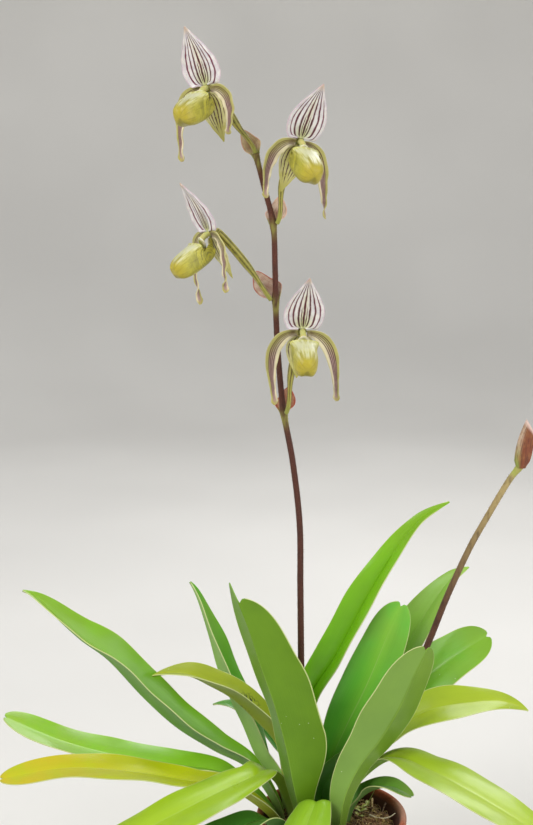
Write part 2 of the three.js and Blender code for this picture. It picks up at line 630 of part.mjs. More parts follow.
function flowerMatrix(flower) {
  const turn = new THREE.Matrix4().makeRotationZ(radians(flower.turn));
  const nod = new THREE.Matrix4().makeRotationX(radians(flower.nod));
  const roll = new THREE.Matrix4().makeRotationY(radians(flower.roll));
  const size = new THREE.Matrix4().makeScale(flower.size, flower.size, flower.size);
  const place = new THREE.Matrix4().makeTranslation(...flower.centre);
  return place.multiply(turn).multiply(nod).multiply(roll).multiply(size);
}

// Ovary and its stalk: from the stem's joint up to the back of the flower, ending in a small round seat.
function buildOvary(flower, matrix) {
  const joint = vector(flower.joint);
  const seat = vector(OVARY_SEAT).applyMatrix4(matrix);
  const neck = vector(OVARY_NECK).applyMatrix4(matrix);
  const behind = vector(OVARY_SHOULDER).applyMatrix4(matrix);
  const knee = joint.clone().applyMatrix4(matrix.clone().invert()).lerp(vector(OVARY_SHOULDER), 0.45);
  knee.y = Math.max(knee.y, OVARY_KNEE_DEPTH);
  knee.applyMatrix4(matrix);
  const outward = behind.clone().sub(joint).setZ(0).normalize();
  const beside = flower.terminal ? 0 : STEM_RADIUS + NODE_SWELL + PEDICEL_RADIUS * 0.45;
  const start = joint.clone().addScaledVector(outward, beside);
  const heading = outward.clone().addScaledVector(UP, 1.3);
  if (flower.terminal) {
    heading.copy(joint).sub(vector(FLOWERING_STEM.through.at(-2))).normalize();
    start.addScaledVector(heading, SEATING_GAP);
  }
  const spine = [start, knee, behind, neck, seat];
  const { path } = smoothPath(spine, heading, OVARY_STEPS, seat.clone().sub(neck));
  const radiusAt = (u) => {
    const body = mix(PEDICEL_RADIUS, OVARY_RADIUS, ramp(u, 0.2, 0.5));
    return mix(body, RECEPTACLE_RADIUS, ramp(u, 0.93, 0.99));
  };
  return { geometry: rod(path, radiusAt, 8), path, outward };
}

// Direction of the flowering stem at a joint.
function stemHeading(joint) {
  const above = FLOWERING_STEM.through.findIndex((point) => point[2] >= joint[2]);
  return vector(FLOWERING_STEM.through[above]).sub(vector(FLOWERING_STEM.through[above - 1])).normalize();
}

// Bract: a pointed shell that clasps the back of the stem at a joint and stands behind the stalk there.
function buildBract(flower, ovary) {
  const joint = vector(flower.joint);
  const foot = ovary.path[0].clone().setY(joint.y);
  const stalk = ovary.path[BRACT_CROWN].clone().sub(foot).setY(0).normalize();
  const back = new THREE.Vector3(0, 1, 0);
  const side = new THREE.Vector3().crossVectors(stalk, back);
  const pointAt = (u, v) => {
    const rise = mix(-BRACT_DROP, flower.bract.length, u);
    const alongStem = joint.clone().addScaledVector(stemHeading(flower.joint), rise);
    const alongStalk = foot.clone().addScaledVector(stalk, rise);
    const open = ramp(u, 0, 0.4);
    const centre = alongStem.lerp(alongStalk, 0.92 * ramp(u, 0.05, 0.65));
    const pointed = Math.sqrt(1 - 0.9 * ramp(u, 0.45, 1));
    const spread = radians(mix(BRACT_WRAP, 88, open)) * v;
    const wide = mix(BRACT_CLASP, flower.bract.halfWidth, open) * pointed;
    const deep = mix(BRACT_CLASP, BRACT_DEPTH, open) * pointed;
    centre.addScaledVector(back, BRACT_SET_BACK * open + deep * Math.cos(spread));
    return centre.addScaledVector(side, wide * Math.sin(spread));
  };
  return blade(8, 6, pointAt, () => BRACT_THICKNESS / 2);
}

for (const [name, flower] of Object.entries(FLOWERS)) {
  const matrix = flowerMatrix(flower);
  const place = (geometry) => geometry.applyMatrix4(matrix);
  addPiece(`dorsal_sepal_${name}`, place(buildSepal(DORSAL, 1, 8, 6)), COLOURS.dorsal, 0.6);
  addPiece(`synsepal_${name}`, place(buildSepal(SYNSEPAL, -1, 8, 4)), COLOURS.synsepal, 0.6);
  addPiece(`petal_left_${name}`, place(buildPetal(-1, flower.left)), COLOURS.petal, 0.6);
  addPiece(`petal_right_${name}`, place(buildPetal(1, flower.right)), COLOURS.petal, 0.6);
  addPiece(`pouch_${name}`, place(buildPouch(flower.droop ?? 0)), COLOURS.pouch, 0.35);
  addPiece(`column_${name}`, place(buildColumn()), COLOURS.column, 0.5);
  const ovary = buildOvary(flower, matrix);
  addPiece(`ovary_${name}`, ovary.geometry, COLOURS.ovary, 0.6);
  addPiece(`bract_${name}`, buildBract(flower, ovary), COLOURS.bract, 0.7);
}

// Pot: a turned clay cup with a flat underside and a thick rim band.
function buildPot() {
  const bandFoot = POT_HEIGHT - RIM_BAND_HEIGHT;
  const wallTop = RIM_RADIUS - RIM_STEP;
  const profile = [
    [0, 0], [POT_BASE_RADIUS, 0], [wallTop, bandFoot], [RIM_RADIUS - 1, bandFoot + 2],
    [RIM_RADIUS, POT_HEIGHT - LIP_ROUND], [RIM_RADIUS - LIP_ROUND, POT_HEIGHT],
    [RIM_RADIUS - POT_WALL + LIP_ROUND, POT_HEIGHT], [RIM_RADIUS - POT_WALL, POT_HEIGHT - LIP_ROUND],
    [wallTop - POT_WALL, bandFoot], [POT_BASE_RADIUS - POT_WALL, POT_FLOOR], [0, POT_FLOOR],
  ];
  const outline = profile.map(([radius, height]) => new THREE.Vector2(radius, height));
  return new THREE.LatheGeometry(outline, POT_SIDES).rotateX(Math.PI / 2);
}
addPiece("pot", toGeometry(toSolid(buildPot())), COLOURS.clay, 0.85);

// Height of the mix's lumpy top at a place.
function mixHeight(x, y) {
  const share = Math.hypot(x, y) / RIM_RADIUS;
  const lumps = Math.sin(0.23 * x + 0.9) * Math.cos(0.27 * y) + 0.6 * Math.sin(0.51 * x - 0.43 * y);
  return MIX_TOP + MIX_MOUND * (1 - share * share) + MIX_LUMP * lumps;
}

// Repeatable draw between 0 and 1.
function draw(seed) {
  const wave = Math.sin(seed * 127.1 + 3.7) * 43758.5453;
  return wave - Math.floor(wave);
}

function upright(radius, foot, head, x, y, sides) {
  return new THREE.CylinderGeometry(radius, radius, head - foot, sides)
    .rotateX(Math.PI / 2)
    .translate(x, y, (foot + head) / 2);
}

// Potting mix: fills the pot, with bark chips on it and a plain hole for the foot of each leaf and stem.
function buildMix() {
  const bandFoot = POT_HEIGHT - RIM_BAND_HEIGHT;
  const floorRadius = POT_BASE_RADIUS - POT_WALL - SEATING_GAP;
  const edgeRadius = RIM_RADIUS - RIM_STEP - POT_WALL - SEATING_GAP;
  const bottom = POT_FLOOR + SEATING_GAP;
  const profile = [[0, bottom], [floorRadius, bottom], [edgeRadius, bandFoot]];
  for (let ring = 0; ring <= MIX_RINGS; ring += 1) {
    profile.push([edgeRadius * (1 - ring / MIX_RINGS), MIX_TOP]);
  }
  const outline = profile.map(([radius, height]) => new THREE.Vector2(radius, height));
  const body = new THREE.LatheGeometry(outline, POT_SIDES).rotateX(Math.PI / 2);
  const place = body.attributes.position;
  for (let i = 0; i < place.count; i += 1) {
    if (place.getZ(i) > bandFoot + 1) place.setZ(i, mixHeight(place.getX(i), place.getY(i)));
  }
  let solid = toSolid(body);
  for (let k = 0; k < CHIP_COUNT; k += 1) {
    const angle = 2.4 * k;
    const distance = (edgeRadius - CHIP_SIZE[0] * 0.7) * Math.sqrt((k + 0.5) / CHIP_COUNT);
    const [x, y] = [distance * Math.cos(angle), distance * Math.sin(angle)];
    const size = CHIP_SIZE.map((length, axis) => length * (0.65 + 0.7 * draw(3 * k + axis)));
    const chip = new THREE.BoxGeometry(...size)
      .rotateX(0.7 * (draw(k + 50) - 0.5))
      .rotateY(0.9 * (draw(k + 90) - 0.5))
      .rotateZ(Math.PI * draw(k + 130))
      .translate(x, y, mixHeight(x, y) + CHIP_RISE);
    solid = solid.add(toSolid(chip));
  }
  const holes = Object.values(LEAVES).map((leaf) => {
    const [x, y] = leaf.foot;
    const inward = vector(leaf.faces[0]).normalize().multiplyScalar(LEAF_HOLE_OFFSET);
    return upright(LEAF_HOLE_RADIUS, HOLE_FLOOR, POT_HEIGHT, x + inward.x, y + inward.y, HOLE_SIDES);
  });
  for (const stem of [FLOWERING_STEM, BUDDING_STEM]) {
    holes.push(upright(STEM_RADIUS + STEM_HOLE_EASE, HOLE_FLOOR, POT_HEIGHT, ...stem.foot, HOLE_SIDES));
  }
  for (const hole of holes) solid = solid.subtract(toSolid(hole));
  const bodies = solid.decompose().sort((a, b) => b.volume() - a.volume());
  return toGeometry(bodies[0]);
}
addPiece("potting_mix", buildMix(), COLOURS.bark, 1);

// Bud sheath: a flat folded sheath that wraps the end of the second stem and opens along one edge.
function buildBudSheath() {
  const foot = vector(BUDDING_STEM.through.at(-1));
  const pointAt = (u, v) => {
    const height = BUD_SHEATH_LENGTH * u * (1 - 0.3 * u * v * v);
    const swell = Math.sin(Math.PI * mix(0.12, 0.86, u));
    const around = radians(mix(150, 95, u)) * v;
    const wide = mix(STEM_RADIUS + 1.3, BUD_SHEATH_HALF_WIDTH, swell) * Math.cos(around);
    const deep = mix(STEM_RADIUS + 1.3, BUD_SHEATH_HALF_DEPTH, swell) * Math.sin(around);
    return foot.clone().add(vector([BUD_SHEATH_LEAN * u - wide + 2 * u, deep, height - BUD_SHEATH_GRIP]));
  };
  return blade(8, 8, pointAt, () => BRACT_THICKNESS / 2);
}
addPiece("bud_sheath", buildBudSheath(), COLOURS.bud, 0.6);

export default root;
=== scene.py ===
# %% [markdown]
# # A potted slipper orchid
# This lesson dresses a plain solid model of a slipper orchid: a clay pot of bark mix, three tufts of
# strap leaves, a flowering stem with four striped flowers, and a second stem that ends in a sheath.
# The solid model is the frame. It says where everything stands, in metres, with +Z up and the flowers
# facing -Y. Each plain solid is replaced by a finer surface that keeps its form and place.
# All sizes below are in millimetres, and are turned to metres when a mesh is made.

# %% Load the frame
import math
from functools import reduce

import bmesh
import bpy
import numpy as np
from mathutils import Matrix, Vector


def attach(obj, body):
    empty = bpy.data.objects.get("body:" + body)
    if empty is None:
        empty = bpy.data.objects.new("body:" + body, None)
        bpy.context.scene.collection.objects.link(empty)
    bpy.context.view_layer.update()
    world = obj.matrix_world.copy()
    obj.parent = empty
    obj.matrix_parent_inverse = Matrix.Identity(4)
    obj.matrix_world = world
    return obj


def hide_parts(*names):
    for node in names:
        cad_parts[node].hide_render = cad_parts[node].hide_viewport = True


MM = 0.001
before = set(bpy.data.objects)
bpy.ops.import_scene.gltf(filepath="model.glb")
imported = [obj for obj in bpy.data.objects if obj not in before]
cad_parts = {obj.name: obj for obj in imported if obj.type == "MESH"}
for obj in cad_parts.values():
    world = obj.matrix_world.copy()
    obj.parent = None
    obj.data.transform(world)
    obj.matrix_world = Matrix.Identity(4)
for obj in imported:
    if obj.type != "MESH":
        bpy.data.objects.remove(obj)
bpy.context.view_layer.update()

# %% [markdown]
# ## The camera
# The photograph was taken from in front of the plant, a little to its left and above its middle, looking
# down by about ten degrees. The flowers high on the stem are seen nearly level, and the leaves are seen
# from above. A lens with a vertical angle of 34 degrees gives the same overlap of flowers and leaves.
# A camera that is placed by eye would do too, but plain numbers can be checked.

# %% Place the camera
CAMERA_PLACE = (-65, -1255, 779)
CAMERA_PITCH = 10.5
CAMERA_ANGLE = 34

camera_data = bpy.data.cameras.new("camera")
camera_data.sensor_fit = "VERTICAL"
camera_data.angle = math.radians(CAMERA_ANGLE)
camera_data.clip_start = 0.01
camera = bpy.data.objects.new("camera", camera_data)
camera.location = np.array(CAMERA_PLACE) * MM
camera.rotation_euler = (math.radians(90 - CAMERA_PITCH), 0, 0)
bpy.context.scene.collection.objects.link(camera)
bpy.context.scene.camera = camera
print("camera lens", round(camera_data.lens, 2), "mm")

# %% [markdown]
# ## Short names for shader nodes
# Every finish below is worked out by nodes, with no pictures. Adding nodes one by one takes many lines,
# so this small class gives the few that are used most a short name. Values or sockets may be passed to
# each: a socket is joined by a link, and a value is written on the node.

# %% Shader node helper
def tint(code):
    """Linear colour from a screen colour in six hex digits, as the display standard defines it."""
    screen = np.array([int(code[i:i + 2], 16) for i in (0, 2, 4)]) / 255
    linear = np.where(screen <= 0.04045, screen / 12.92, ((screen + 0.055) / 1.055) ** 2.4)
    return (*linear.tolist(), 1)


class Nodes:
    """Adds shader nodes to the tree of one material or node group."""

    def __init__(self, tree):
        self.tree = tree

    def add(self, kind, inputs=(), **settings):
        """Adds a node, sets its properties, and fills or links its inputs."""
        node = self.tree.nodes.new("ShaderNode" + kind)
        for name, value in settings.items():
            setattr(node, name, value)
        for place, value in dict(inputs).items():
            if isinstance(value, bpy.types.NodeSocket):
                self.tree.links.new(value, node.inputs[place])
            else:
                node.inputs[place].default_value = value
        return node

    def use(self, group, **inputs):
        """Places a shared effect and returns its output."""
        sockets = {name.replace("_", " "): value for name, value in inputs.items()}
        return self.add("Group", sockets, node_tree=group).outputs[0]

    def read(self, attribute):
        """Value of a named attribute of the mesh."""
        return self.add("Attribute", attribute_name=attribute).outputs["Fac"]

    def surface(self):
        """Along, across, across without its sign, and a vector of the first two."""
        along, across = self.read("along"), self.read("across")
        return along, across, self.calc("ABSOLUTE", across), self.pair(along, across)

    def place(self):
        """Coordinates of the surface in the object's own space, in metres."""
        return self.add("TexCoord").outputs["Object"]

    def calc(self, operation, *values):
        """One arithmetic step."""
        return self.add("Math", dict(enumerate(values)), operation=operation).outputs[0]

    def times(self, *values):
        """Product of the values."""
        return reduce(lambda product, value: self.calc("MULTIPLY", product, value), values)

    def plus(self, *values):
        """Sum of the values."""
        return reduce(lambda total, value: self.calc("ADD", total, value), values)

    def pair(self, first, second):
        """Vector of two values, for a pattern that follows a surface."""
        return self.add("CombineXYZ", {"X": first, "Y": second}).outputs["Vector"]

    def length(self, vector):
        """Length of a vector."""
        return self.add("VectorMath", {0: vector}, operation="LENGTH").outputs["Value"]

    def ramp(self, value, low, high):
        """0 below low, 1 above high, and a smooth step between; falls instead where low is above high."""
        sockets = {"Value": value, "From Min": low, "From Max": high}
        return self.add("MapRange", sockets, interpolation_type="SMOOTHSTEP").outputs["Result"]

    def fit(self, value, low, high, bottom, top):
        """Straight change from bottom to top as value goes from low to high."""
        sockets = {"Value": value, "From Min": low, "From Max": high, "To Min": bottom, "To Max": top}
        return self.add("MapRange", sockets).outputs["Result"]

    def noise(self, vector, scale, detail=2.0, squash=None):
        """Cloudy pattern around one half; squash stretches it by scaling each axis first."""
        if squash is not None:
            vector = self.add("Mapping", {"Vector": vector, "Scale": squash}).outputs["Vector"]
        return self.add("TexNoise", {"Vector": vector, "Scale": scale, "Detail": detail}).outputs["Fac"]

    def cloud(self, scale, detail=2.0, squash=None):
        """The cloudy pattern in the object's own space."""
        return self.noise(self.place(), scale, detail, squash)

    def streaks(self, grid, along, across, detail=2.0):
        """The cloudy pattern on a surface's own vector; more steps across than along draw lines."""
        return self.noise(grid, 1.0, detail, squash=(along, across, 1))

    def cells(self, vector, scale):
        """Distance from the middle of the nearest of many random cells."""
        return self.add("TexVoronoi", {"Vector": vector, "Scale": scale}).outputs["Distance"]

    def paint(self, base, *layers):
        """Base colour under layers, each a colour and the shares whose product is its strength."""
        under = tint(base) if isinstance(base, str) else base
        for colour, *shares in layers:
            over = tint(colour) if isinstance(colour, str) else colour
            sockets = {0: self.times(*shares), 6: under, 7: over}
            under = self.add("Mix", sockets, data_type="RGBA").outputs[2]
        return under


class Finish(Nodes):
    """Nodes of a new material; plain values are set on its Principled shader's own sockets."""

    def __init__(self, name, **settings):
        self.material = bpy.data.materials.new(name)
        self.material.use_nodes = True
        super().__init__(self.material.node_tree)
        self.shader = self.tree.nodes["Principled BSDF"]
        for socket, value in settings.items():
            self.shader.inputs[socket.replace("_", " ")].default_value = value

    def dress(self, colour, relief=None, strength=0, depth=0, **sockets):
        """Links the colour, a bump from the relief and what else changes, and returns the material."""
        sockets["Base_Color"] = colour
        if relief is not None:
            bump = {"Height": relief, "Strength": strength, "Distance": depth}
            sockets["Normal"] = self.add("Bump", bump).outputs["Normal"]
        for name, value in sockets.items():
            self.tree.links.new(value, self.shader.inputs[name.replace("_", " ")])
        return self.material


print("shader helpers ready")

# %% [markdown]
# ## The studio
# The plant stands in a plain pale studio. A flat floor sweeps up all round into a wall, as a paper
# backdrop does, so no corner or horizon shows from any side. A world colour alone would light it too,
# but a floor also catches the soft shadow that makes the plant stand on something.

# %% Floor and backdrop
FLOOR_RINGS = [0, 60, 400, 1200]
FLOOR_RADIUS = 2600
SWEEP_RADIUS = 1500
SWEEP_STEPS = 16
WALL_TOP = 3600
BACKDROP_SIDES = 96

sweep = np.linspace(0, math.pi / 2, SWEEP_STEPS + 1)
sweep_radius = FLOOR_RADIUS + SWEEP_RADIUS * np.sin(sweep)
sweep_height = SWEEP_RADIUS * (1 - np.cos(sweep))
profile_radius = np.concatenate([FLOOR_RINGS, sweep_radius, [FLOOR_RADIUS + SWEEP_RADIUS]])
profile_height = np.concatenate([np.zeros(len(FLOOR_RINGS)), sweep_height, [WALL_TOP]])


def grid_faces(rows, columns, wrap=False, start=0):
    """Quads between neighbouring rows and columns of points; wrap joins the last column to the first."""
    index = np.arange(rows * columns).reshape(rows, columns) + start
    if wrap:
        index = np.hstack([index, index[:, :1]])
    corners = [index[:-1, :-1], index[1:, :-1], index[1:, 1:], index[:-1, 1:]]
    return np.stack(corners, axis=-1).reshape(-1, 4)


def circle(sides):
    """Angles at equal steps round a circle."""
    return np.arange(sides) / sides * 2 * math.pi


def turned(radius, height, sides):
    """Points of a profile turned about the Z axis: cosine and sine times the radius, and the height."""
    x = radius[:, None] * np.cos(circle(sides))
    y = radius[:, None] * np.sin(circle(sides))
    return np.stack([x, y, np.broadcast_to(height[:, None], x.shape)], axis=-1)


backdrop_points = turned(profile_radius, profile_height, BACKDROP_SIDES)
backdrop_mesh = bpy.data.meshes.new("backdrop")
backdrop_faces = grid_faces(*backdrop_points.shape[:2], wrap=True)
backdrop_mesh.from_pydata((backdrop_points.reshape(-1, 3) * MM).tolist(), [], backdrop_faces.tolist())
backdrop_mesh.shade_smooth()
backdrop = bpy.data.objects.new("backdrop", backdrop_mesh)
bpy.context.scene.collection.objects.link(backdrop)
print("backdrop", len(backdrop_mesh.polygons), "faces")

# %% [markdown]
# The backdrop is matt paper. A very faint mottle keeps it from looking like a flat colour.

# %% Backdrop finish
nodes = Finish("backdrop_paper", Roughness=0.9)
mottle = nodes.ramp(nodes.cloud(1.2), 0.3, 0.7)
backdrop_mesh.materials.append(nodes.dress(nodes.paint("dfddd9", ("e7e5e1", mottle))))
print("backdrop finish ready")

# %% [markdown]
# The light is soft studio light. A large panel in front, to the left and above gives the leaves their
# broad pale sheen, a weaker one on the right opens the shadows, and one behind and above draws a thin
# bright line along edges. The world adds an even pale glow.

# %% Lights
LIGHTS = {
    "key": dict(place=(-1300, -1500, 2100), target=(0, 0, 450), size=1.3, power=41),
    "fill": dict(place=(1700, -1200, 1100), target=(0, 0, 350), size=1.6, power=20),
    "rim": dict(place=(500, 1500, 2000), target=(0, 0, 500), size=1.2, power=23),
}
WORLD_STRENGTH = 0.54

for name, light in LIGHTS.items():
    lamp = bpy.data.lights.new(name, "AREA")
    lamp.shape = "SQUARE"
    lamp.size = light["size"]
    lamp.energy = light["power"]
    holder = bpy.data.objects.new(name, lamp)
    holder.location = np.array(light["place"]) * MM
    towards = Vector(light["target"]) - Vector(light["place"])
    holder.rotation_euler = towards.to_track_quat("-Z", "Y").to_euler()
    bpy.context.scene.collection.objects.link(holder)

world = bpy.data.worlds.new("studio")
world.use_nodes = True
glow = world.node_tree.nodes["Background"].inputs
glow["Color"].default_value = tint("f2f4f6")
glow["Strength"].default_value = WORLD_STRENGTH
bpy.context.scene.world = world
bpy.context.scene.view_settings.view_transform = "Standard"
print(len(LIGHTS), "lights")

# %% [markdown]
# ## From arrays to pieces
# A leaf, a sepal or a stem is a surface: each of its points is a function of two numbers, how far along
# it is and how far across. The points are worked out as whole arrays. The same two numbers are kept on
# the mesh as attributes named along and across, so that stripes and veins can follow the shape.

# %% Mesh helpers
def smooth_step(value, low, high):
    """Smooth step from 0 at low to 1 at high: 3 t squared less 2 t cubed."""
    t = np.clip((value - low) / (high - low), 0, 1)
    return t * t * (3 - 2 * t)


def bell(value, width, middle=0):
    """Bell curve that is 1 at the middle: e to the power of less the square of distance over width."""
    return np.exp(-((value - middle) / width) ** 2)


def unit(vectors):
    """The vectors at length one."""
    return vectors / np.linalg.norm(vectors, axis=-1, keepdims=True)


def face_outwards(mesh):
    """Turns the faces of closed shapes so that they all point out."""
    shape = bmesh.new()
    shape.from_mesh(mesh)
    bmesh.ops.recalc_face_normals(shape, faces=shape.faces)
    shape.to_mesh(mesh)
    shape.free()


def make_piece(name, points, faces, values=None, sharp=None):
    """Mesh object from points in mm and faces; values are attributes kept on its points."""
    mesh = bpy.data.meshes.new(name)
    mesh.from_pydata((points * MM).tolist(), [], faces if isinstance(faces, list) else faces.tolist())
    face_outwards(mesh)
    for label, numbers in (values or {}).items():
        layer = mesh.attributes.new(label, "FLOAT", "POINT")
        layer.data.foreach_set("value", np.ascontiguousarray(numbers, dtype=np.float32).ravel())
    mesh.shade_smooth()
    if sharp is not None:
        mesh.set_sharp_from_angle(angle=math.radians(sharp))
    piece = bpy.data.objects.new(name, mesh)
    bpy.context.scene.collection.objects.link(piece)
    return piece


def settle(piece, finish, slot, *nodes):
    """Gives a piece its finish and says what it rides on and the plain solids it stands for; its slot is
    not used.
    """
    piece.data.materials.append(finish)
    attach(piece, "root")
    if nodes:
        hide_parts(*nodes)


def repeated(faces, count, points_each):
    """Faces of one small shape, renumbered for each of its copies."""
    return (faces + points_each * np.arange(count)[:, None, None]).reshape(-1, faces.shape[1])


def shares(rows, columns):
    """How far along each row of a grid is, from 0 to 1, and how far across each column, from -1 to 1."""
    return np.linspace(0, 1, rows)[:, None], np.linspace(-1, 1, columns)[None, :]


def make_blade(name, middle, half_thickness, along, across):
    """Closed thin sheet: the grid of points moved both ways along its own normals, and a rim between."""
    rows, columns = middle.shape[:2]
    normal = unit(np.cross(np.gradient(middle, axis=1), np.gradient(middle, axis=0)))
    offset = normal * np.asarray(half_thickness)[..., None]
    count = rows * columns
    index = np.arange(count).reshape(rows, columns)
    rim = np.concatenate([index[:, 0], index[-1, 1:], index[-2::-1, -1], index[0, -2:0:-1]])
    ahead = np.roll(rim, -1)
    sides = np.stack([rim, rim + count, ahead + count, ahead], axis=-1)
    faces = np.vstack([grid_faces(rows, columns), grid_faces(rows, columns, start=count)[:, ::-1], sides])
    points = np.vstack([(middle + offset).reshape(-1, 3), (middle - offset).reshape(-1, 3)])
    along, across, _ = np.broadcast_arrays(along, across, index)
    values = {
        "along": np.tile(along.ravel(), 2),
        "across": np.tile(across.ravel(), 2),
        "below": np.repeat([0, 1], count),
    }
    return make_piece(name, points, faces, values, sharp=55)


print("mesh helpers ready")

# %% [markdown]
# ## Paths
# Stems, leaves and stalks follow a line in space. The solid model draws each one as a smooth curve
# through a few points, and the same curve is drawn here, so that the finer piece lies in its place.

# %% Smooth path
SPAN_STEPS = 24
UP = np.array([0.0, 0.0, 1.0])


def lengths_to(points):
    """Length of a line of points up to each of them."""
    return np.concatenate([[0], np.cumsum(np.linalg.norm(np.diff(points, axis=0), axis=1))])


def smooth_path(points, start, steps, end=None):
    """Cubic curve through the points, read at equal steps of length.

    Between two points it eases from one to the other by 3 t squared less 2 t cubed. Each end also pulls
    along its heading, by t times (1 - t) squared and by t squared times (1 - t) of the span's length.
    """
    points = np.asarray(points, float)
    headings = np.empty_like(points)
    headings[1:-1] = points[2:] - points[:-2]
    headings[0] = start
    headings[-1] = points[-1] - points[-2] if end is None else end
    headings = unit(headings)[:, None]
    spans = np.linalg.norm(np.diff(points, axis=0), axis=1)[:, None, None]
    t = (np.arange(1, SPAN_STEPS + 1) / SPAN_STEPS)[None, :, None]
    ease = t * t * (3 - 2 * t)
    fine = points[:-1, None] * (1 - ease) + points[1:, None] * ease
    fine = fine + spans * (headings[:-1] * t * (1 - t) ** 2 - headings[1:] * t * t * (1 - t))
    fine = np.vstack([points[:1], fine.reshape(-1, 3)])
    lengths = lengths_to(fine)
    target = np.linspace(0, lengths[-1], steps + 1)
    return np.stack([np.interp(target, lengths, column) for column in fine.T], axis=1), lengths[-1]


def read_path(path, share):
    """Points of a path at shares of its length from 0 to 1, by straight steps between its points."""
    marks = np.linspace(0, 1, len(path))
    return np.stack([np.interp(share, marks, column) for column in path.T], axis=-1)


print("path helpers ready")
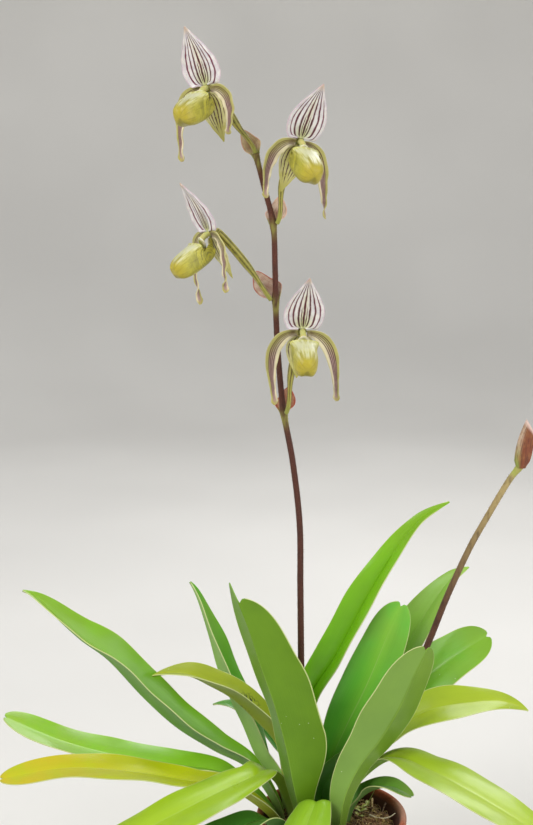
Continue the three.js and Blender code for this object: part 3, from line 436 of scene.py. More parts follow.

# %% [markdown]
# ## The leaves
# A slipper orchid's leaf is a thick strap. It is folded along its middle at the foot, opens flat further
# up, and ends in a blunt tip with a small notch. The upper face is glossy, and the underside is duller
# and has a keel. The table gives for each leaf the foot of its keel, its width, its fold from flat in
# degrees at foot, middle and tip, the points that the keel runs through, the way its upper face looks at
# foot, middle and tip, and its own greens above and below, as judged. Shoulder and tip say where the
# widest place and the closing curve begin. Hook, arch, slim, flap, spots, core and blush mark what is
# special on a leaf.

# %% Leaf table
LEAVES = {
    "leaf_left_long": dict(
        foot=(-51, 14), width=54, fold=(66, 66, 34), shoulder=0.5, tip=84, hook=5,
        through=[(-80, 18, 175), (-119, 20, 198), (-155, 18, 223), (-187, 16, 255), (-221, 10, 297),
                 (-249, 6, 321), (-297, -4, 375)],
        faces=[(1, 0, 0), (0.64, -0.17, 0.74), (0.7, -0.2, 0.7)],
        upper="78b41c", under="6a9a34"),
    "leaf_left_upright": dict(
        foot=(-47, 34), width=52, fold=(64, 50, 38), shoulder=0.45, tip=100, hook=4,
        through=[(-51, 37, 146), (-73, 48, 174), (-89, 55, 210), (-100, 60, 232), (-114, 66, 265),
                 (-122, 71, 294), (-130, 76, 321), (-140, 80, 355)],
        faces=[(0.95, 0.3, 0), (0.95, -0.1, 0.2), (0.93, -0.25, 0.3)],
        upper="5aa81c", under="84ae48"),
    "leaf_centre_keel": dict(
        foot=(-28, -23), width=82, fold=(62, 40, 28), shoulder=0.45, tip=60, slim=0.7, flap=18,
        through=[(-40, -24, 190), (-46, -24, 222), (-57, -26, 265), (-70, -28, 305), (-80, -29, 338),
                 (-92, -30, 371)],
        faces=[(0.2, 1, 0), (0.62, 0.76, 0.15), (0.6, 0.8, 0.1)],
        upper="6ba32a", under="668e10"),
    "leaf_left_arching": dict(
        foot=(-43, 22), width=46, fold=(66, 60, 28), shoulder=0.5, tip=56, hook=3, spots=(0.56, 0.3),
        through=[(-50, 30, 180), (-56, 31, 202), (-77, 30, 227), (-99, 26, 250), (-120, 21, 265),
                 (-144, 17, 278), (-178, 13, 281)],
        faces=[(1, 0, 0), (0.6, 0, 0.8), (0.1, -0.1, 1)],
        upper="9cab1a", under="94a02a"),
    "leaf_left_inner": dict(
        foot=(-30, 48), width=30, fold=(64, 38, 24), tip=50, hook=3,
        through=[(-33, 53, 146), (-51, 75, 170), (-80, 91, 198), (-101, 89, 215), (-121, 90, 219)],
        faces=[(0.9, -0.3, 0), (0.5, -0.2, 0.8), (0.2, -0.2, 1)],
        upper="4c9a34", under="6ea444"),
    "leaf_left_twisted": dict(
        foot=(-56, 2), width=44, fold=(66, 24, 14),
        through=[(-105, -2, 179), (-159, -4, 192), (-217, -6, 203), (-268, -8, 219), (-322, -10, 245)],
        faces=[(1, 0, 0), (0.1, -0.1, 1), (0.3, -0.3, 0.9)],
        upper="7eb622", under="76a238"),
    "leaf_left_low": dict(
        foot=(-51, -9), width=42, fold=(66, 18, 12),
        through=[(-96, -28, 178), (-129, -37, 188), (-192, -49, 205), (-253, -57, 213), (-317, -63, 205)],
        faces=[(0.9, 0.4, 0), (0.05, -0.1, 1), (-0.1, -0.3, 1)],
        upper="b2bf10", under="98a41c", blush="ceb41e"),
    "leaf_front_left": dict(
        foot=(-38, -5), width=56, fold=(64, 20, 12), tip=40, arch=0.2,
        through=[(-50, 1, 162), (-67, -9, 187), (-76, -38, 196), (-103, -63, 195), (-150, -99, 187),
                 (-210, -134, 170), (-256, -156, 150)],
        faces=[(0.6, 0.8, 0), (-0.1, -0.2, 1), (-0.4, -0.3, 1)],
        upper="9abd18", under="88a62c"),
    "leaf_front_left_under": dict(
        foot=(-41, -33), width=40, fold=(64, 20, 12),
        through=[(-67, -58, 159), (-99, -86, 163), (-137, -114, 152), (-176, -140, 126)],
        faces=[(0.4, 0.9, 0), (-0.1, -0.2, 1), (-0.4, -0.3, 1)],
        upper="417a26", under="4c7a34"),
    "leaf_front": dict(
        foot=(-14, -21), width=50, fold=(64, 26, 12), shoulder=0.6, arch=0.45,
        through=[(-16, -34, 166), (-22, -54, 165), (-32, -82, 154), (-43, -116, 136), (-51, -146, 108)],
        faces=[(0, 1, 0), (0, -0.1, 1), (-0.1, -0.7, 0.8)],
        upper="90ba2a", under="86a634"),
    "leaf_back_tall": dict(
        foot=(-14, 34), width=44, fold=(66, 54, 44), shoulder=0.5, tip=150, hook=5,
        through=[(-22, 40, 236), (6, 48, 287), (52, 60, 371), (88, 68, 421), (119, 72, 443)],
        faces=[(0, -1, 0), (-0.6, -0.75, 0.4), (-0.5, -0.75, 0.45)],
        upper="7abc16", under="6ca62c"),
    "leaf_centre_broad": dict(
        foot=(-4, 34), width=54, fold=(64, 22, 12), tip=40,
        through=[(-4, 34, 164), (12, 36, 206), (38, 42, 260), (62, 48, 319), (72, 50, 341)],
        faces=[(0.4, -0.9, 0), (-0.2, -1, 0.2), (-0.2, -0.9, 0.4)],
        upper="68bc3c", under="4f8a34", core="84c840"),
    "leaf_right_keel": dict(
        foot=(5, -35), width=70, fold=(64, 26, 18), shoulder=0.75, tip=50,
        through=[(10, -36, 170), (24, -31, 202), (45, -29, 231), (62, -30, 262), (76, -30, 296),
                 (88, -31, 324)],
        faces=[(0, 1, 0), (-0.5, 0.86, 0.1), (-0.5, 0.86, 0.1)],
        upper="6ba32a", under="74982c"),
    "leaf_back_right": dict(
        foot=(6, 59), width=52, fold=(66, 42, 26), shoulder=0.5, tip=90, hook=4,
        through=[(30, 76, 180), (56, 90, 226), (80, 98, 271), (107, 106, 317), (130, 112, 348),
                 (147, 114, 361)],
        faces=[(-0.4, -0.9, 0), (-0.6, -0.7, 0.5), (-0.5, -0.7, 0.6)],
        upper="9ad052", under="86b84a"),
    "leaf_right_broad": dict(
        foot=(15, 44), width=58, fold=(66, 18, 10),
        through=[(36, 54, 178), (64, 57, 227), (104, 60, 263), (138, 65, 286), (164, 70, 300)],
        faces=[(-0.9, -0.3, 0), (-0.35, -0.8, 0.6), (-0.3, -0.8, 0.6)],
        upper="6cb024", under="629a30"),
    "leaf_right_low": dict(
        foot=(16, 20), width=48, fold=(66, 20, 12), shoulder=0.75, tip=76, hook=4,
        through=[(37, 22, 182), (66, 17, 222), (98, 13, 242), (138, 13, 250), (167, 12, 252),
                 (196, 10, 246)],
        faces=[(-1, 0, 0), (-0.2, -0.4, 0.9), (0.1, -0.4, 0.9)],
        upper="a0b822", under="92a02c"),
    "leaf_front_right": dict(
        foot=(12, -15), width=54, fold=(64, 22, 12), shoulder=0.62, tip=40, arch=0.15,
        through=[(17, -15, 160), (34, -1, 180), (61, 0, 197), (90, -35, 202), (131, -84, 199),
                 (175, -122, 185), (212, -150, 166)],
        faces=[(-0.6, 0.8, 0), (0, -0.1, 1), (0.3, -0.3, 1)],
        upper="a0bc2a", under="88aa38"),
    "leaf_front_right_under": dict(
        foot=(16, 2), width=28, fold=(66, 44, 16), shoulder=0.75,
        through=[(22, 2, 144), (37, 0, 162), (57, -13, 173), (77, -30, 171)],
        faces=[(-1, 0.1, 0), (0, -0.1, 1), (0.3, -0.3, 1)],
        upper="5f953a", under="5c8a3c"),
    "leaf_heart_left": dict(
        foot=(-9, 12), width=26, fold=(64, 36, 20),
        through=[(-8, 13, 158), (8, 16, 181), (24, 18, 198)],
        faces=[(0.8, -0.5, 0), (-0.3, -0.8, 0.5), (-0.3, -0.8, 0.5)],
        upper="4f8a34", under="4f8236"),
    "leaf_heart_right": dict(
        foot=(-8, 52), width=24, fold=(64, 38, 22),
        through=[(-6, 51, 148), (0, 50, 165), (8, 50, 178)],
        faces=[(0.5, -0.8, 0), (-0.2, -0.7, 0.7), (-0.2, -0.7, 0.7)],
        upper="4f8a34", under="4f8236"),
}
print(len(LEAVES), "leaves")

# %% [markdown]
# Across its width a leaf is a soft V. The fold's angle sets how far the two halves rise, and it falls a
# little towards the margins. The midrib is a shallow groove above and a rounded keel below. The width
# swells from the foot to the shoulder. Broad leaves close in a blunt curve with a notch, narrow ones in a
# point that hooks down, and one has a flap beside its notch.

# %% Leaf surface
FOOT_HEIGHT = 112.9
LEAF_FOOT_WIDTH = 17
LEAF_TIP_TAPER = 0.24
LEAF_NOTCH = 3.5
LEAF_ROW_CROWDING = 1.35
LEAF_THICKNESS = (1.3, 1.7)
LEAF_EDGE_THICKNESS = 0.9
LEAF_USUAL = dict(shoulder=0.58, tip=34, hook=0, arch=0, slim=1, flap=0)
LEAF_GRID = (96, 33)
LEAF_PATH_STEPS = 240
RIB_GROOVE = 0.3
MARGIN_WAVE = 0.7


def along_leaf(values, u):
    """Value at foot, middle and tip of a leaf, eased between them."""
    foot, middle, tip = (np.asarray(value, float) for value in values)
    lower = foot + (middle - foot) * smooth_step(u, 0.02, 0.5)
    return np.where(u < 0.5, lower, middle + (tip - middle) * smooth_step(u, 0.5, 1))


def leaf_surface(leaf):
    """Grid of a leaf's middle layer, half its thickness, and how far along and across each point is."""
    path, total = smooth_path([(*leaf["foot"], FOOT_HEIGHT), *leaf["through"]], UP, LEAF_PATH_STEPS)
    tangents = unit(np.gradient(path, axis=0))
    u, v = shares(*LEAF_GRID)
    u = 1 - (1 - u) ** LEAF_ROW_CROWDING
    shoulder, tip_length, hook, arch, slim, flap = ({**LEAF_USUAL, **leaf}[key] for key in LEAF_USUAL)
    tip = np.maximum(0, (u - 1) * total + tip_length) / tip_length
    notch = (0 if hook else LEAF_NOTCH) * np.maximum(0, 1 - np.abs(v) / 0.5) * tip * tip
    share = np.clip(u - notch / total, 0, 1)
    tangent = unit(read_path(tangents, share))
    face = along_leaf(leaf["faces"], share[..., None])
    face = unit(face - np.sum(face * tangent, axis=-1, keepdims=True) * tangent)
    side = np.cross(tangent, face)
    swell = smooth_step(u, 0.02, shoulder)
    belly = LEAF_FOOT_WIDTH + (leaf["width"] - LEAF_FOOT_WIDTH) * swell
    belly = belly * (1 - LEAF_TIP_TAPER * smooth_step(u, 0.62, 0.95))
    closing = (1 - 0.985 * tip ** 1.6) ** 0.8 if hook else np.sqrt(1 - 0.94 * tip ** 2.4)
    half_width = 0.5 * belly * closing * np.where(v > 0, slim, 1)
    fold = np.radians(along_leaf(leaf["fold"], u)) * (1 - 0.25 * np.abs(v))
    soft = np.sqrt(v * v + 0.0016) - 0.04
    rise = half_width * (soft * np.sin(fold) - arch * v * v) - hook * tip ** 8
    rise = rise + MARGIN_WAVE * v ** 4 * np.sin(u * total / 11 + 2 * np.sign(v)) * smooth_step(u, 0.2, 0.5)
    rise = rise - RIB_GROOVE * bell(v, 0.05)
    middle = read_path(path, share) + side * (half_width * v * np.cos(fold))[..., None]
    longer = flap * bell(v, 0.28, 0.8) * tip ** 3
    middle = middle + face * rise[..., None] + tangent * longer[..., None]
    thick = LEAF_THICKNESS[0] + (LEAF_THICKNESS[1] - LEAF_THICKNESS[0]) * smooth_step(u, 0, 0.4)
    half = 0.5 * (thick + (LEAF_EDGE_THICKNESS - thick) * np.abs(v)) + 0.3 * bell(v, 0.06)
    return middle, half, u, v


print("a leaf is a grid of", LEAF_GRID)

# %% [markdown]
# ## The leaf finish
# The upper face is a bright waxy green with faint lines along it, a pale line along the midrib and a thin
# pale margin. The underside is duller and more olive. Old leaves turn yellow from the tip and margin.
# Two shared effects are node groups, so that each can be placed in many finishes with its own values:
# a fine line that follows a shape, and the fine grain of plant cells for the bump.

# %% Shared effects
def new_group(name, inputs, output):
    """Node group with number inputs, vectors where no number is given, and one number output."""
    group = bpy.data.node_groups.new(name, "ShaderNodeTree")
    for label, value in inputs.items():
        kind = "NodeSocketVector" if value is None else "NodeSocketFloat"
        socket = group.interface.new_socket(label, in_out="INPUT", socket_type=kind)
        if value is not None:
            socket.default_value = value
    group.interface.new_socket(output, in_out="OUTPUT", socket_type="NodeSocketFloat")
    given = group.nodes.new("NodeGroupInput").outputs
    result = group.nodes.new("NodeGroupOutput").inputs
    return group, Nodes(group), given, result


line_inputs = {"Across": 0, "Along": 0, "Centre": 0, "Half width": 0.04, "From": 0, "To": 1}
fine_line, nodes, given, result = new_group("fine_line", line_inputs, "Mask")
distance = nodes.calc("ABSOLUTE", nodes.calc("SUBTRACT", given["Across"], given["Centre"]))
core = nodes.ramp(distance, given["Half width"], nodes.times(given["Half width"], 0.3))
begin = nodes.ramp(given["Along"], given["From"], nodes.plus(given["From"], 0.06))
end = nodes.ramp(given["Along"], given["To"], nodes.calc("SUBTRACT", given["To"], 0.15))
fine_line.links.new(nodes.times(core, nodes.times(begin, end)), result["Mask"])

grain_inputs = {"Place": None, "Scale": 900, "Pores": 0.5}
cell_grain, nodes, given, result = new_group("cell_grain", grain_inputs, "Height")
cells = nodes.cells(given["Place"], given["Scale"])
cloud = nodes.noise(given["Place"], nodes.times(given["Scale"], 0.4))
cell_grain.links.new(nodes.plus(nodes.times(cells, given["Pores"]), cloud), result["Height"])
print("shared effects:", [group.name for group in bpy.data.node_groups])

# %% [markdown]
# The leaf finish reads along, across and below from the mesh. The faint lines are noise stretched along
# the leaf: the pattern is read at many steps across and few along. Roughness rises on the underside.

# %% Leaf finish
def scaled(colour, *factors):
    """Linear colour whose red, green and blue are each multiplied by a factor."""
    return (*(value * factor for value, factor in zip(colour, factors)), 1)


def leaf_finish(name, leaf):
    """Waxy leaf in its own greens, with lines, midrib, margin, blush and dark spots where it has them."""
    nodes = Finish(name + "_finish", Specular_IOR_Level=0.38, Coat_Roughness=0.18)
    along, across, spread, grid = nodes.surface()
    below, ramp = nodes.read("below"), nodes.ramp
    lines = nodes.streaks(grid, 3, 42, 3.0)
    cloud = nodes.cloud(24, 3.0)
    upper, under = tint(leaf["upper"]), tint(leaf["under"])
    deep, dull = scaled(upper, 0.66, 0.74, 0.6), scaled(under, 0.78, 0.82, 0.8)
    core = leaf.get("core", scaled(upper, 1.12, 1.08, 1.1))
    ripe, ripeness = (leaf["blush"], 0.85) if "blush" in leaf else ("b3b83c", 0.22)
    top = nodes.paint(
        upper,
        (deep, ramp(cloud, 0.35, 0.75), 0.6),
        (core, ramp(spread, 0.55, 0.02), 0.7),
        (deep, ramp(lines, 0.42, 0.7), 0.3),
        (ripe, ramp(along, 0.45, 1.0), ramp(cloud, 0.2, 0.6), ripeness),
    )
    back = nodes.paint(
        under,
        (dull, ramp(cloud, 0.3, 0.8)),
        (dull, ramp(lines, 0.4, 0.75), 0.25),
        ("86a860", ramp(across, 0.02, 0.06), 0.3),
    )
    rib = nodes.times(ramp(spread, 0.03, 0.006), ramp(along, 1.0, 0.6))
    colour = nodes.paint(top, (back, below), ("a9c46a", rib, nodes.fit(below, 0, 1, 0.5, 0.2)))
    if "spots" in leaf:
        far, wide = (nodes.calc("SUBTRACT", *pair) for pair in zip((along, across), leaf["spots"]))
        near = ramp(nodes.length(nodes.pair(nodes.times(far, 7.0), wide)), 0.55, 0.15)
        colour = nodes.paint(colour, ("26350f", near, ramp(nodes.cloud(420), 0.5, 0.56)))
    dust = ramp(nodes.cells(nodes.place(), 120.0), 0.07, 0.04)
    colour = nodes.paint(
        colour,
        ("dfe6c8", dust, ramp(cloud, 0.58, 0.62), 0.6),
        ("c6ce8c", ramp(spread, 0.972, 0.992)),
        ("8f9c5c", ramp(along, 0.16, 0.0), 0.7),
    )
    rough = nodes.fit(nodes.plus(below, nodes.times(cloud, 0.25)), 0, 1.25, 0.26, 0.52)
    coat = nodes.fit(below, 0, 1, 0.16, 0.0)
    grain = nodes.use(cell_grain, Place=nodes.place(), Scale=900.0, Pores=0.6)
    relief = nodes.plus(nodes.times(grain, 0.35), lines)
    return nodes.dress(colour, relief, 0.25, 0.0006, Roughness=rough, Coat_Weight=coat)


print("leaf finish ready")

# %% Grow the leaves
for name, leaf in LEAVES.items():
    piece = make_blade(name + "_blade", *leaf_surface(leaf))
    settle(piece, leaf_finish(name, leaf), "leaf", name)
print(len(LEAVES), "leaves grown,", len(piece.data.polygons), "faces each")

# %% [markdown]
# ## The two stems
# A stem is a round rod that thins upwards and swells a little at each joint. It is a circle carried along
# the stem's curve. On the real plant it is covered in short brown hairs, which give it a soft dark
# outline. Hair curves would look right but can't be exported, so each hair is a tiny three-sided spike,
# and all the spikes of a stem are one mesh.

# %% Stem table
JOINTS = {
    "top_left": (-75, 1, 787),
    "top_right": (-59, 2, 724),
    "mid_left": (-56, 3, 653),
    "lower_front": (-49, 4, 546),
}
FLOWERING_STEM = [(-28, 8, FOOT_HEIGHT), (-31, 8, 303), (-32, 7, 373), (-33, 6, 436), (-40, 5, 498),
                  (-49, 4, 548), (-54, 4, 600), (-56, 3, 636), (-57, 3, 681), (-59, 2, 724), (-67, 2, 756),
                  (-75, 1, 787)]
BUDDING_STEM = [(8, 30, FOOT_HEIGHT), (11, 31, 138), (26, 33, 166), (56, 37, 210), (96, 38, 299),
                (116, 40, 352), (138, 40, 404), (152, 40, 431), (174, 40, 471), (185, 40, 486)]
STEMS = {
    "flowering_stem": dict(through=FLOWERING_STEM, joints=[*JOINTS.values()], tip_radius=2.5, hairs=5200,
                           colours=("4a2013", "532516", "8f8c42")),
    "budding_stem": dict(through=BUDDING_STEM, joints=BUDDING_STEM[-1:], tip_radius=3, hairs=3000,
                         colours=("55301f", "b09c68", "a3a850")),
}
STEM_RADIUS = 3.4
NODE_SWELL = 0.9
NODE_SPREAD = 7
STEM_ROWS = 400
STEM_SIDES = 28
STEM_HAIR = (1.25, 0.07)
GREEN_DROP = 6
print("stem joints at heights", [joint[2] for joint in JOINTS.values()])

# %% Tubes
def ring(first, second, angle):
    """Directions round a centre: cosine of the angle along the first, and sine along the second."""
    return first * np.cos(angle)[:, None] + second * np.sin(angle)[:, None]


def path_axes(path, reference):
    """Tangent and two cross directions at each point; the first leans towards the reference direction."""
    tangent = unit(np.gradient(path, axis=0))
    lean = np.sum(tangent * reference, axis=1, keepdims=True)
    first = unit(np.asarray(reference, float) - lean * tangent)
    return tangent, first, np.cross(tangent, first)


def tube_points(path, radius, sides, reference):
    """Circles of a radius around each point of a path: centre plus radius times cosine and sine."""
    _, first, second = path_axes(path, reference)
    radius = np.asarray(radius, float).reshape(len(path), -1)[..., None]
    return path[:, None] + ring(first[:, None], second[:, None], circle(sides)) * radius


def tube_faces(rows, sides, start=0):
    """Quads round a tube and one flat face at each end."""
    index = np.arange(rows * sides).reshape(rows, sides) + start
    faces = grid_faces(rows, sides, wrap=True, start=start).tolist()
    return faces + [index[0].tolist(), index[-1, ::-1].tolist()]


def make_tube(name, rings, values=None, sharp=None):
    """One closed piece from rings of points."""
    return make_piece(name, rings.reshape(-1, 3), tube_faces(*rings.shape[:2]), values, sharp)


def stem_radius(path, tip_radius, joints):
    """Radius that falls evenly to the tip, with a bell-shaped swelling at each joint."""
    share = np.linspace(0, 1, len(path))
    apart = np.linalg.norm(path[:, None] - joints[None], axis=-1).min(axis=1)
    swelling = NODE_SWELL * bell(apart, NODE_SPREAD)
    return STEM_RADIUS + (tip_radius - STEM_RADIUS) * share + swelling


print("tube helpers ready")

# %% Hairs
HAIR_ROOT = 0.05
HAIR_LEAN = 0.35
HAIR_SPREAD = 0.25
HAIR_REACH = (0.03, 0.995)
HAIR_LENGTHS = (0.6, 1.3)


def make_hairs(name, feet, directions, lengths, radius):
    """One mesh of thin three-sided spikes: three points round each foot and one at its tip."""
    directions = unit(directions)
    helper = np.where(np.abs(directions[:, 2:]) < 0.9, [[0, 0, 1.0]], [[1.0, 0, 0]])
    first = unit(np.cross(directions, helper))
    second = np.cross(directions, first)
    base = feet[:, None] + ring(first[:, None], second[:, None], circle(3)) * radius
    tip = feet + directions * lengths[:, None]
    points = np.concatenate([base, tip[:, None]], axis=1).reshape(-1, 3)
    spike = np.array([[0, 1, 3], [1, 2, 3], [2, 0, 3], [0, 2, 1]])
    return make_piece(name, points, repeated(spike, len(feet), 4))


def hairs_on(name, path, radius, reference, count, length, thickness, seed):
    """Hairs spread by chance over a tube, each leaning a little up the tube."""
    chance = np.random.default_rng(seed)
    share = chance.uniform(*HAIR_REACH, count)
    angle = chance.uniform(0, 2 * math.pi, count)
    tangent, first, second = path_axes(path, reference)
    out = unit(ring(read_path(first, share), read_path(second, share), angle))
    skin = np.interp(share, np.linspace(0, 1, len(path)), radius)[:, None]
    feet = read_path(path, share) + out * (skin - HAIR_ROOT)
    directions = out + read_path(tangent, share) * HAIR_LEAN + chance.normal(0, HAIR_SPREAD, (count, 3))
    lengths = length * chance.uniform(*HAIR_LENGTHS, count)
    return make_hairs(name, feet, directions, lengths, thickness)


print("hair helpers ready")

# %% [markdown]
# The stem's skin is dark red-brown and mottled, and turns green just below each joint. The budding stem
# is paler towards its top. How near each point is to such a green place is kept on the mesh as joint.

# %% Stem finishes
def stem_finish(name, low, high, joint_green):
    """Matt hairy skin that goes from one colour at the foot to another at the tip."""
    nodes = Finish(name, Roughness=0.75, Sheen_Weight=0.12, Sheen_Roughness=0.4)
    along, near = nodes.read("along"), nodes.read("joint")
    patches = nodes.cloud(220, 3.0, squash=(1, 1, 0.3))
    fine = nodes.cloud(1500)
    colour = nodes.paint(
        low,
        (high, nodes.ramp(along, 0.55, 1.0)),
        ("2e1712", nodes.ramp(patches, 0.45, 0.75), 0.55),
        ("9a6a4e", nodes.ramp(fine, 0.55, 0.75), 0.4),
        (joint_green, near, nodes.ramp(patches, 0.75, 0.35)),
    )
    return nodes.dress(colour, nodes.plus(fine, patches), 0.5, 0.0006)


def hair_finish(name, code, light_code):
    """Fine hairs, with a cloud of lighter ones among them."""
    nodes = Finish(name, Roughness=0.6)
    lighter = nodes.ramp(nodes.cloud(700), 0.4, 0.65)
    return nodes.dress(nodes.paint(code, (light_code, lighter)))


brown_hair = hair_finish("brown_hair", "6b4030", "a98468")
for name, stem in STEMS.items():
    path = smooth_path(stem["through"], UP, STEM_ROWS)[0]
    joints = np.array(stem["joints"], float)
    radius = stem_radius(path, stem["tip_radius"], joints)
    heights = path[:, 2:] - joints[:, 2]
    nearest = np.take_along_axis(heights, np.abs(heights).argmin(axis=1)[:, None], axis=1)[:, 0]
    near = bell(nearest, NODE_SPREAD, -GREEN_DROP)
    rings = tube_points(path, radius, STEM_SIDES, (0, 1, 0))
    values = {
        "along": np.repeat(np.linspace(0, 1, len(path)), STEM_SIDES),
        "joint": np.repeat(near, STEM_SIDES),
    }
    piece = make_tube(name + "_skin", rings, values)
    settle(piece, stem_finish(name + "_finish", *stem["colours"]), "stem", name)
    count = stem["hairs"]
    hairs = hairs_on(name + "_hair", path, radius, (0, 1, 0), count, *STEM_HAIR, seed=count)
    settle(hairs, brown_hair, "stem")
print("stems and their hairs are up")

# %% [markdown]
# ## The flowers
# Each flower is built in its own frame, where it faces -Y and its hooded sepal stands along +Z. The table
# gives where its centre is, how it turns, nods and rolls, its size, and the shape of its two petals.

# %% Flower table
FLOWERS = {
    "top_left": dict(
        centre=(-120, -20, 844), turn=-32, nod=10, roll=-7, size=1, bract=(24, 9),
        left=dict(length=80, rise=20, curl=-81, bend=2.9, sweep=0, twist=0),
        right=dict(length=52, rise=16, curl=-112, bend=2.5, sweep=0, twist=0)),
    "top_right": dict(
        centre=(-34, -28, 797), turn=21, nod=15, roll=11, size=1, bract=(24, 10),
        left=dict(length=66, rise=6, curl=-106, bend=2.8, sweep=0.1, twist=60),
        right=dict(length=82, rise=9, curl=-68, bend=4.8, sweep=0.1, twist=150)),
    "mid_left": dict(
        centre=(-119, -22, 715), turn=-58, nod=17, roll=-4, size=0.93, droop=5, bract=(30, 12),
        left=dict(length=92, rise=20, curl=-84, bend=3, sweep=-0.16, twist=120),
        right=dict(length=68, rise=16, curl=-104, bend=3.2, sweep=-0.22, twist=150)),
    "lower_front": dict(
        centre=(-32, -34, 627), turn=6, nod=13, roll=3, size=1, bract=(23, 10),
        left=dict(length=84, rise=8, curl=-102, bend=3.3, sweep=0, twist=0),
        right=dict(length=81, rise=7, curl=-82, bend=3.4, sweep=0, twist=35)),
}


class Stance:
    """Turns points between a flower's own frame and the plant's."""

    def __init__(self, flower):
        turn, nod, roll = (math.radians(flower[name]) for name in ("turn", "nod", "roll"))
        turning = Matrix.Rotation(turn, 3, "Z") @ Matrix.Rotation(nod, 3, "X")
        self.matrix = np.array(turning @ Matrix.Rotation(roll, 3, "Y")) * flower["size"]
        self.centre = np.array(flower["centre"], float)

    def out(self, points):
        """From the flower's frame to the plant's."""
        return np.asarray(points, float) @ self.matrix.T + self.centre

    def back(self, points):
        """From the plant's frame to the flower's."""
        return (np.asarray(points, float) - self.centre) @ np.linalg.inv(self.matrix).T


STANCES = {name: Stance(flower) for name, flower in FLOWERS.items()}
print(len(FLOWERS), "flowers")

# %% [markdown]
# ### Sepals
# The hooded sepal at the top and the joined sepal behind the pouch are egg-shaped blades with a drawn-out
# tip. The half width follows the sine of pi times the share of length to the power 0.55, which sets the
# widest place low. The top sepal is a little folded along its middle and has loose waves beside its foot.

# %% Sepal surface
DORSAL = dict(length=53, width=38, foot=(0, 2.2, 3.2), lean=14, bow=-3, ruffle=2.2, fold=1.6, lobe=7)
SYNSEPAL = dict(length=46, width=27, foot=(0, 3.8, -4.7), lean=9, bow=-1, ruffle=0.8, fold=1.2, lobe=0)
SEPAL_HALF = 0.42
SEPAL_GRID = (90, 49)


def sepal_surface(sepal, upward, stance):
    """Grid of a sepal in the plant's frame, half its thickness, and how far along and across it is."""
    u, v = shares(*SEPAL_GRID)
    rise = 0.01 + 0.984 * u
    half_width = 0.5 * sepal["width"] * np.sin(math.pi * rise ** 0.55)
    lean = sepal["lean"] * rise + sepal["bow"] * 4 * rise * (1 - rise)
    ruffle = sepal["ruffle"] * np.sin(2.5 * math.pi * v) * np.abs(v) * (1 - rise)
    fold = sepal["fold"] * (0.45 - np.sqrt(v * v + 0.01)) * np.sin(math.pi * rise)
    wave = 0.35 * v ** 4 * np.sin(26 * rise + 2 * np.sign(v))
    depth = -upward * lean + ruffle + upward * fold + wave
    droop = sepal["lobe"] * v ** 2 * np.clip(1 - rise / 0.45, 0, 1) ** 2 * smooth_step(rise, 0, 0.1)
    height = upward * (sepal["length"] * (rise - 0.015) - droop)
    local = np.stack([half_width * v, depth, height], axis=-1)
    return stance.out(local + np.array(sepal["foot"])), SEPAL_HALF, u, v


print("sepal surface ready")

# %% [markdown]
# Sepal and petal stripes follow the blade, so they are drawn with the fine line group on along and
# across. Each line is given by its centre, half width, start and end. The lines are broken up and
# wavered by noise, since real ones are drawn by veins.

# %% Nodes for petals and sepals
def draw_lines(nodes, along, across, lines):
    """Largest mask of several fine lines, each given as centre, half width, start and end."""
    total = 0.0
    for centre, half_width, start, end in lines:
        mask = nodes.use(fine_line, Along=along, Across=across, Centre=centre, Half_width=half_width,
                         From=start, To=end)
        total = nodes.calc("MAXIMUM", total, mask)
    return total


def petal_nodes(name):
    """Nodes of a new soft petal finish, and its coordinates with the across one wavered."""
    nodes = Finish(name, Roughness=0.5, Sheen_Weight=0.15, IOR=1.4, Subsurface_Weight=0.12,
                   Subsurface_Radius=(1.0, 0.8, 0.4), Subsurface_Scale=0.0015)
    along, across, _, grid = nodes.surface()
    waver = nodes.times(nodes.calc("SUBTRACT", nodes.noise(grid, 7.0), 0.5), 0.09)
    across = nodes.plus(across, waver)
    return nodes, along, across, nodes.calc("ABSOLUTE", across), grid


def vein_relief(nodes, grid):
    """Relief of a petal: fine lines along it and a grain of cells."""
    grain = nodes.use(cell_grain, Place=nodes.place(), Scale=1400.0, Pores=0.7)
    return nodes.plus(nodes.times(grain, 0.4), nodes.streaks(grid, 2, 60))


print("petal helpers ready")

# %% Sepal finishes
DORSAL_LINES = [
    (0.0, 0.085, 0.0, 1.0),
    (0.27, 0.07, 0.0, 1.0), (-0.27, 0.07, 0.0, 1.0),
    (0.52, 0.065, 0.0, 0.97), (-0.52, 0.065, 0.0, 0.97),
    (0.76, 0.055, 0.0, 0.8), (-0.76, 0.055, 0.0, 0.8),
    (0.13, 0.035, 0.02, 0.45), (-0.13, 0.035, 0.02, 0.45),
]
SYNSEPAL_LINES = [
    (0.05, 0.08, 0.0, 0.74),
    (0.34, 0.08, 0.0, 0.84), (-0.26, 0.08, 0.0, 0.86),
    (0.62, 0.075, 0.0, 0.74), (-0.56, 0.075, 0.0, 0.78),
    (0.85, 0.05, 0.05, 0.55), (-0.82, 0.05, 0.05, 0.58),
]


